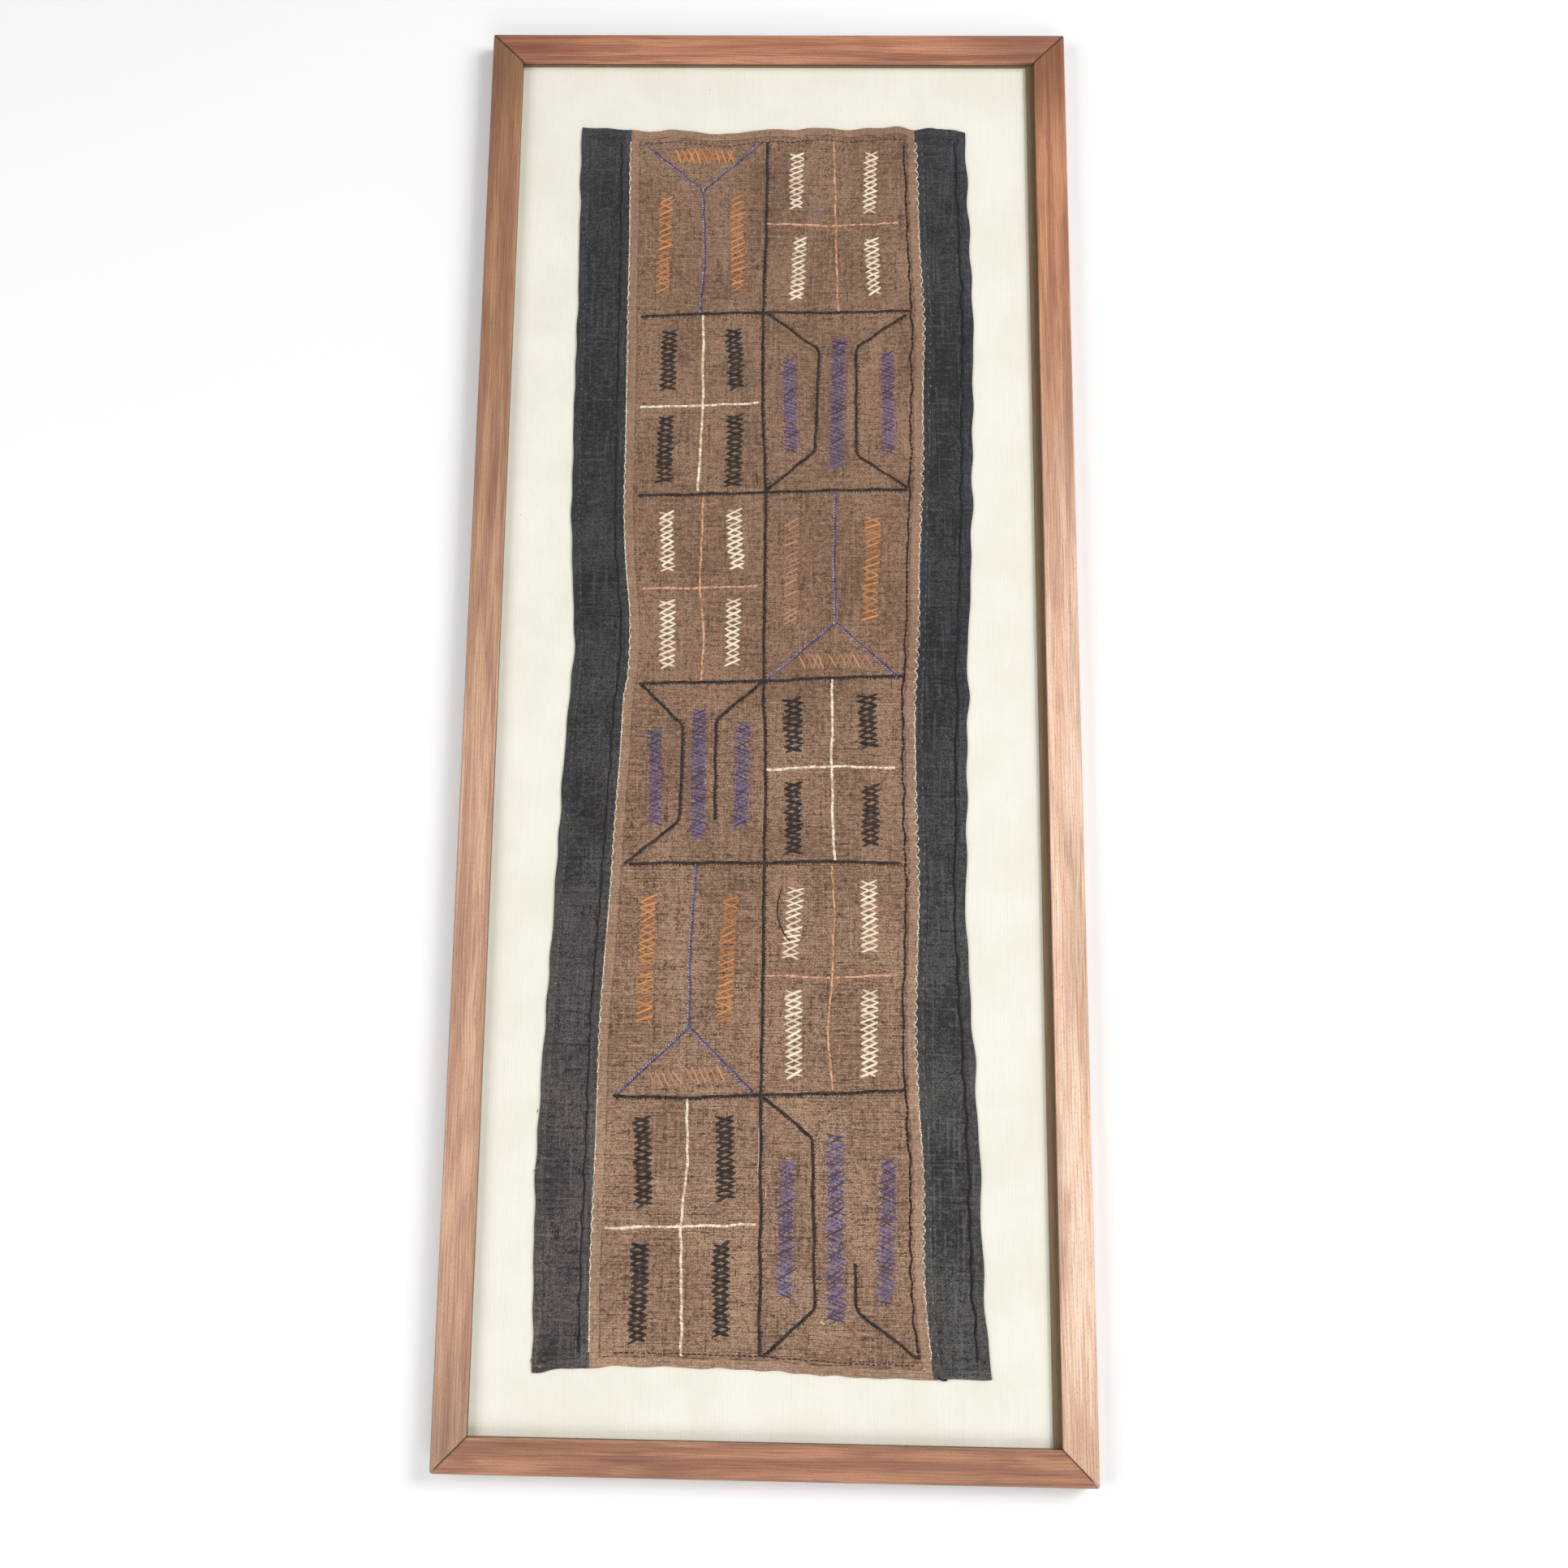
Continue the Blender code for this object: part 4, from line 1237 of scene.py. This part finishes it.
def yarn_material(name):
    dark, pale = YARNS[name]
    material, tree, shader, place = new_material(name + "_raffia", 0.72)
    shader.inputs["Specular IOR Level"].default_value = 0.2
    own = put(tree, "Attribute", {"attribute_name": "tone"}).outputs["Fac"]
    streak = stretched_noise(tree, place, (1400.0, 1400.0, 1400.0), 1.0)
    share = maths(tree, "ADD", maths(tree, "MULTIPLY", own, 0.7), maths(tree, "MULTIPLY", streak, 0.5))
    share = soft_step(tree, share, 0.1, 1.0)
    tree.links.new(mix(tree, share, paint(dark), paint(pale)), shader.inputs["Base Color"])
    bump = put(tree, "Bump", {}, {"Height": streak, "Strength": 0.3, "Distance": 0.0001})
    tree.links.new(bump.outputs["Normal"], shader.inputs["Normal"])
    return material


yarns = {name: yarn_material(name) for name in YARNS}
print(len(yarns), "yarns")

# %% [markdown]
# The lines that part the fields are stem stitches: short slanted strands, each one starting beside the
# middle of the last, so the line looks like a thin rope. The black lines are the heaviest, and tiny
# ticks stand out along one side, where the thread was caught down. The violet lines are two threads:
# a flat plum one, and a lilac one that crosses it in small pale beads.

# %% Couched lines
Rope = namedtuple("Rope", "line yarn pitch length width height lean aside")
ROPES = (
    Rope("black", "black", 2.0, 4.4, 2.60, 1.15, 18, 0.0),
    Rope("violet", "plum", 2.1, 4.4, 2.80, 0.85, 10, -0.2),
    Rope("violet", "lilac", 2.3, 3.1, 1.15, 1.10, 28, 0.4),
    Rope("natural", "natural", 2.0, 3.7, 2.10, 1.05, 30, 0.0),
    Rope("salmon", "salmon", 2.1, 3.9, 1.60, 0.95, 24, 0.0),
)
TICK_PITCH = 2.5 * MM
TICK_LENGTH, TICK_WIDTH, TICK_HEIGHT = 4.0 * MM, 1.05 * MM, 0.85 * MM

for rope in ROPES:
    basket = Basket(rope.yarn + "_lines", seed=20)
    for number, corners in enumerate(lines[rope.line]):
        x, y, turn = route(corners, rope.pitch * MM, LINE_SEEDS[rope.line, number])
        count = len(x)
        lean = math.radians(rope.lean) + basket.jitter(count, 0.14)
        length = rope.length * MM * (1 + basket.jitter(count, 0.18))
        width = rope.width * MM * (1 + basket.jitter(count, 0.18))
        side = (rope.aside * np.sign(np.sin(turn) + 0.3) + basket.jitter(count, 0.15)) * MM
        px, py = x - side * np.sin(turn), y + side * np.cos(turn)
        basket.lay(bead, px, py, turn + lean, length, width, rope.height * MM)
        if rope.line == "black":
            x, y, turn = route(corners, TICK_PITCH, LINE_SEEDS[rope.line, number])
            keep = basket.chance.uniform(0, 1, len(x)) > 0.12
            x, y, turn = x[keep], y[keep], turn[keep]
            upright = np.abs(np.sin(turn)) > 0.7
            outward = np.where(upright, 0.25, -math.pi / 2) + basket.jitter(len(x), 0.45)
            reach = (1.3 + basket.jitter(len(x), 0.5)) * MM
            px, py = x + reach * np.cos(outward), y + reach * np.sin(outward)
            basket.lay(speck_shape, px, py, outward, TICK_LENGTH, TICK_WIDTH, TICK_HEIGHT)
    basket.sew(yarns[rope.yarn])

# %% [markdown]
# The bars are crossed stitches, worked close together. Each cross is two flat strands over the full
# width of the bar, one falling and one rising to the right. The rising one lies on top and is the
# steeper of the two. The strand underneath keeps to the darker tones of its yarn, a painted shade, and
# the strand on top reaches the palest, a painted highlight. The shade in the holes that the needle
# made is painted as dark dots on both sides.

# %% Bars
Cross_stitch = namedtuple("Cross_stitch", "pitch rise lean over_width under_width height under over unruly")
STITCHES = {
    # The under and over tone ranges are shaded and lit: the strand underneath keeps to darker tones as
    # painted shade, the strand on top reaches the palest as painted highlight.
    "black": Cross_stitch(4.7, 5.8, 0.35, 2.10, 2.20, 0.85, (0.0, 0.6), (0.2, 1.0), 0.45),
    "natural": Cross_stitch(5.0, 6.0, 0.12, 1.65, 1.60, 0.90, (0.0, 0.7), (0.5, 1.0), 0.35),
    "orange": Cross_stitch(5.4, 5.6, 0.12, 1.45, 1.25, 0.80, (0.1, 0.8), (0.4, 1.0), 0.45),
    "rust": Cross_stitch(4.6, 5.4, 0.20, 1.15, 1.00, 0.65, (0.0, 0.6), (0.3, 1.0), 0.9),
    "purple": Cross_stitch(3.1, 6.2, 0.25, 1.00, 1.30, 0.75, (0.0, 0.45), (0.0, 1.0), 1.0),
    "indigo": Cross_stitch(3.5, 7.4, 0.25, 1.05, 1.30, 0.80, (0.0, 0.45), (0.0, 1.0), 1.0),
}
BAR_EASE = 1.26
BAR_SEED, BAR_SWAY = 900, 0.3 * MM
OVER_LIFT = 0.28 * MM
HOLE_PITCH = 2.4 * MM
HOLE_LENGTH, HOLE_WIDTH, HOLE_HEIGHT = 1.0 * MM, 0.8 * MM, 0.25 * MM
HOLE_TURN = 1.4
HOLES_LEFT_OUT = 0.3
NEEDLED = ("orange", "rust", "indigo", "purple")

# The needle holes are dark specks of painted shade beside the bars.
hole_shades = Basket("needle_holes", seed=40)
for yarn, stitch in STITCHES.items():
    basket = Basket(yarn + "_bars", seed=30 + len(yarn))
    for number, bar in enumerate(BARS):
        if bar.yarn != yarn:
            continue
        x, y, turn = route((bar.top, bar.foot), stitch.pitch * MM, BAR_SEED + number, BAR_SWAY)
        count = len(x)
        under = (-1, stitch.under_width, 0.0, stitch.under)
        over = (1, stitch.over_width, OVER_LIFT, stitch.over)
        for way, strand_width, lift, tones in (under, over):
            width = BAR_EASE * bar.width * MM * (1 + basket.jitter(count, 0.10 * (1 + stitch.unruly)))
            rise = stitch.rise * (1 + way * stitch.lean) * MM
            rise = rise * (1 + basket.jitter(count, 0.10 + 0.22 * stitch.unruly))
            length = np.hypot(width, rise)
            angle = turn + math.pi / 2 + way * np.arctan2(rise, width)
            slide = basket.jitter(count, 0.9 * MM * stitch.unruly)
            aside = basket.jitter(count, 0.7 * MM * stitch.unruly)
            cx = x + slide * np.cos(turn) - aside * np.sin(turn)
            cy = y + slide * np.sin(turn) + aside * np.cos(turn)
            thick = strand_width * MM * (1 + basket.jitter(count, 0.28))
            tone = basket.chance.uniform(*tones, count)
            basket.lay(strand, cx, cy, angle, length, thick, stitch.height * MM, lift=lift, tone=tone)
        if yarn in NEEDLED:
            x, y, turn = route((bar.top, bar.foot), HOLE_PITCH, BAR_SEED + number, BAR_SWAY)
            for side in (-1, 1):
                keep = basket.chance.uniform(0, 1, len(x)) > HOLES_LEFT_OUT
                reach = side * (BAR_EASE * bar.width / 2 + 0.5) * MM
                hx, hy = x[keep] - reach * np.sin(turn[keep]), y[keep] + reach * np.cos(turn[keep])
                way = turn[keep] + HOLE_TURN
                hole_shades.lay(speck_shape, hx, hy, way, HOLE_LENGTH, HOLE_WIDTH, HOLE_HEIGHT)
    basket.sew(yarns[yarn])
hole_shades.sew(yarns["needle"])

# %% [markdown]
# Cream thread whips the brown panel to its borders. Between two stitches the thread runs along the
# edge and the edge bulges; at each stitch a short tooth crosses onto the charcoal.

# %% Whip stitches on the long seams
THREAD_WIDTH, THREAD_HEIGHT = 1.05 * MM, 0.85 * MM
TOOTH_LENGTH, TOOTH_WIDTH, TOOTH_HEIGHT = 2.4 * MM, 0.85 * MM, 0.8 * MM
WHIP_FOOT, WHIP_TOP = -0.497, 0.488
BEAD_LENGTH = 3.4 * MM
BEAD_SHARES = (-0.30, 0.0, 0.30)

basket = Basket("whip_stitches", seed=50)
for seam, outward in ((wavy_left, -1), (wavy_right, 1)):
    first, last = math.ceil(WHIP_FOOT / SCALLOP_PITCH), math.floor(WHIP_TOP / SCALLOP_PITCH)
    nodes = np.arange(first, last) * SCALLOP_PITCH
    middle = nodes + SCALLOP_PITCH / 2
    for share in BEAD_SHARES:
        along = middle + share * SCALLOP_PITCH
        x = seam(along) + outward * 0.35 * MM
        step = SCALLOP_PITCH * 0.15
        lean = np.arctan2(2 * step, seam(along + step) - seam(along - step))
        basket.lay(bead, x, along, lean, BEAD_LENGTH, THREAD_WIDTH, THREAD_HEIGHT)
    tilt = basket.jitter(len(nodes), 0.3)
    length = TOOTH_LENGTH * (1 + basket.jitter(len(nodes), 0.3))
    x = seam(nodes) + outward * 0.9 * MM
    basket.lay(bead, x, nodes, tilt, length, TOOTH_WIDTH, TOOTH_HEIGHT)
basket.sew(yarns["whip"])

# %% [markdown]
# Hems are held by running stitches, each line at its own distance from its edge. The brown panel has a
# dark red line on the right and at the top and foot, and a pale one on the left. The borders have
# black ones on their inner side at the left and their outer side at the right, and small pale ones
# opposite. Black stitches also hold the borders' top hems and join each border's two lengths.

# %% Running stitches
Hem = namedtuple("Hem", "name yarn curve offset reach length width height pitch")
HEMS = (
    Hem("panel_hem_left", "fawn", left_seam, LEFT_HEM_AT, 0.7, 1.6, 0.60, 0.50, 3.4),
    Hem("left_border_inner_hem", "ink", left_seam, INNER_HEM_AT, 0.5, 6.8, 1.50, 0.80, 4.5),
    Hem("left_border_outer_hem", "ash", left_edge, 6.0, 0.6, 1.3, 0.50, 0.45, 6.2),
    Hem("right_border_outer_hem", "ink", right_edge, OUTER_HEM_AT, 0.55, 7.6, 2.20, 1.00, 4.4),
    Hem("right_border_inner_hem", "ash", right_seam, 6.0, 0.5, 2.6, 0.50, 0.45, 7.4),
    Hem("panel_hem_right", "oxblood", right_seam, RIGHT_HEM_AT, RIGHT_HEM_REACH, 5.8, 2.10, 1.05, 4.0),
)


def running(name, yarn, places, hem):
    basket = Basket(name, seed=60 + len(name))
    x, y, turn = places
    count = len(x)
    length = hem.length * MM * (1 + basket.jitter(count, 0.2))
    width = hem.width * MM * (1 + basket.jitter(count, 0.2))
    basket.lay(bead, x, y, turn + basket.jitter(count, 0.06), length, width, hem.height * MM)
    basket.sew(yarns[yarn])


for number, hem in enumerate(HEMS):
    sizes = (hem.offset * MM, hem.pitch * MM, HEM_SEED + number, hem.reach * MM)
    slot = "raffia_brown" if hem.name.startswith("panel") else "raffia_charcoal"
    running(hem.name, hem.yarn, edge_route(hem.curve, HEM_FOOT, HEM_TOP, *sizes), hem)

end_hem = Hem("", "oxblood", None, 0, 0.5, 4.2, 1.0, 0.75, 4.1)
END_SEED, END_REACH = 330, 0.4 * MM
INSET = 4 * MM


def between(left, right, height):
    """The stretch of a length of cloth at one height, a little inside its two edges."""
    return float(left(height)) + INSET, float(right(height)) - INSET


PANEL_STRETCH = (-112 * MM, 110 * MM)
left_joint, right_joint = joints["border_left"], joints["border_right"]
left_top = between(left_edge, left_seam, HEM_TOP)
right_top = between(right_seam, right_edge, HEM_TOP)
left_middle = between(left_edge, left_seam, float(left_joint(left_edge(0.0))))
right_middle = between(right_seam, right_edge, float(right_joint(right_edge(0.0))))
end_lines = (
    ("panel_hem_top", top_edge, -11.5, "oxblood", PANEL_STRETCH, "raffia_brown"),
    ("panel_hem_foot", foot_edge, 9.5, "oxblood", PANEL_STRETCH, "raffia_brown"),
    ("left_border_hem_top", top_edge, -9.0, "ink", left_top, "raffia_charcoal"),
    ("right_border_hem_top", top_edge, -9.0, "ink", right_top, "raffia_charcoal"),
    ("left_border_joint", left_joint, 0.3, "ink", left_middle, "raffia_charcoal"),
    ("right_border_joint", right_joint, 0.3, "ink", right_middle, "raffia_charcoal"),
)
for name, curve, offset, yarn, (low, high), slot in end_lines:
    sizes = (offset * MM, end_hem.pitch * MM, END_SEED, END_REACH)
    places = edge_route(curve, low, high, *sizes, upright=False)
    running(name, yarn, places, end_hem)

# %% [markdown]
# Last come the accidents that make the cloth look used: curled ends of thread at the left edge, frayed
# knots at the lower corners, a dark thread that wandered in the fifth row, and a few pale snags.
# Each sets off in one direction and turns evenly, as a short curve with a round section that is made
# a mesh at once.

# %% Loose threads and knots
Tail = namedtuple("Tail", "yarn width x y heading length curl")
TAILS = (
    Tail("ink", 0.45, -170, -317, 150, 8, 200),
    Tail("ash", 0.40, -169, -359, 190, 8, 70),
    Tail("ash", 0.75, -167, -494, 180, 9, 120),
    Tail("fawn", 0.60, -165, -500, 250, 10, 250),
    Tail("ink", 1.20, 158, -493, -40, 9, 220),
    Tail("ink", 1.40, 125, -502, -60, 11, 90),
    Tail("oxblood", 0.85, -14, 190, -85, 13, 10),
    Tail("oxblood", 0.95, 10, -147, -110, 46, 60),
    Tail("whip", 0.50, 0, -369, -90, 11, 0),
    Tail("whip", 0.90, 40, -465, -45, 6, 10),
    Tail("whip", 0.45, -6, -326, -88, 36, -5),
    Tail("fawn", 0.45, -80, -302, -80, 8, 40),
    Tail("oxblood", 0.45, 58, -333, 25, 9, -60),
    Tail("purple", 0.45, -104, -26, 15, 11, -70),
)
TAIL_STEPS = 6
TAIL_SEED, TAIL_PITCH, TAIL_SWAY = 700, 0.8 * MM, 0.1 * MM
TAIL_LIFT = 0.25 * MM


def course(tail):
    """A loose thread sets off in one direction and turns evenly on its way."""
    turn = np.radians(tail.heading + tail.curl * np.linspace(0, 1, TAIL_STEPS))
    step = tail.length / TAIL_STEPS
    x = tail.x + step * np.concatenate([[0.0], np.cumsum(np.cos(turn))])
    y = tail.y + step * np.concatenate([[0.0], np.cumsum(np.sin(turn))])
    return np.stack([x, y], axis=1)


for number, tail in enumerate(TAILS, 1):
    curve = bpy.data.curves.new(f"loose_thread_{number}", "CURVE")
    curve.dimensions = "3D"
    curve.bevel_depth = tail.width * MM / 2
    curve.bevel_resolution = 1
    curve.use_fill_caps = True
    spline = curve.splines.new("POLY")
    x, y, _ = route(course(tail), TAIL_PITCH, TAIL_SEED + number, TAIL_SWAY)
    z = cloth_top(x, y) + TAIL_LIFT
    outside = (x < left_edge(y)) | (x > right_edge(y)) | (y < foot_edge(x))
    z = np.where(outside, board_top + tail.width * MM, z)
    spline.points.add(len(x) - 1)
    for point, place in zip(spline.points, zip(x, y, z)):
        point.co = (*place, 1.0)
    thread = bpy.data.objects.new(curve.name, curve)
    bpy.context.scene.collection.objects.link(thread)
    bpy.ops.object.select_all(action="DESELECT")
    thread.select_set(True)
    bpy.context.view_layer.objects.active = thread
    bpy.ops.object.convert(target="MESH")
    thread = bpy.context.object
    tones = np.full(len(thread.data.vertices), 0.5)
    thread.data.attributes.new("tone", "FLOAT", "POINT").data.foreach_set("value", tones)
    thread.data.materials.clear()
    thread.data.materials.append(yarns[tail.yarn])
    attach(thread, "root")
print(len(TAILS), "loose threads")

# %% [markdown]
# The model is complete.

# %% Sizes and finish
model_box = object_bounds()
sizes = {"cad": [list(corner) for corner in cad_box], "model": [list(corner) for corner in model_box]}
print("model", [round(size / MM, 1) for size in model_box[1] - model_box[0]], "mm")
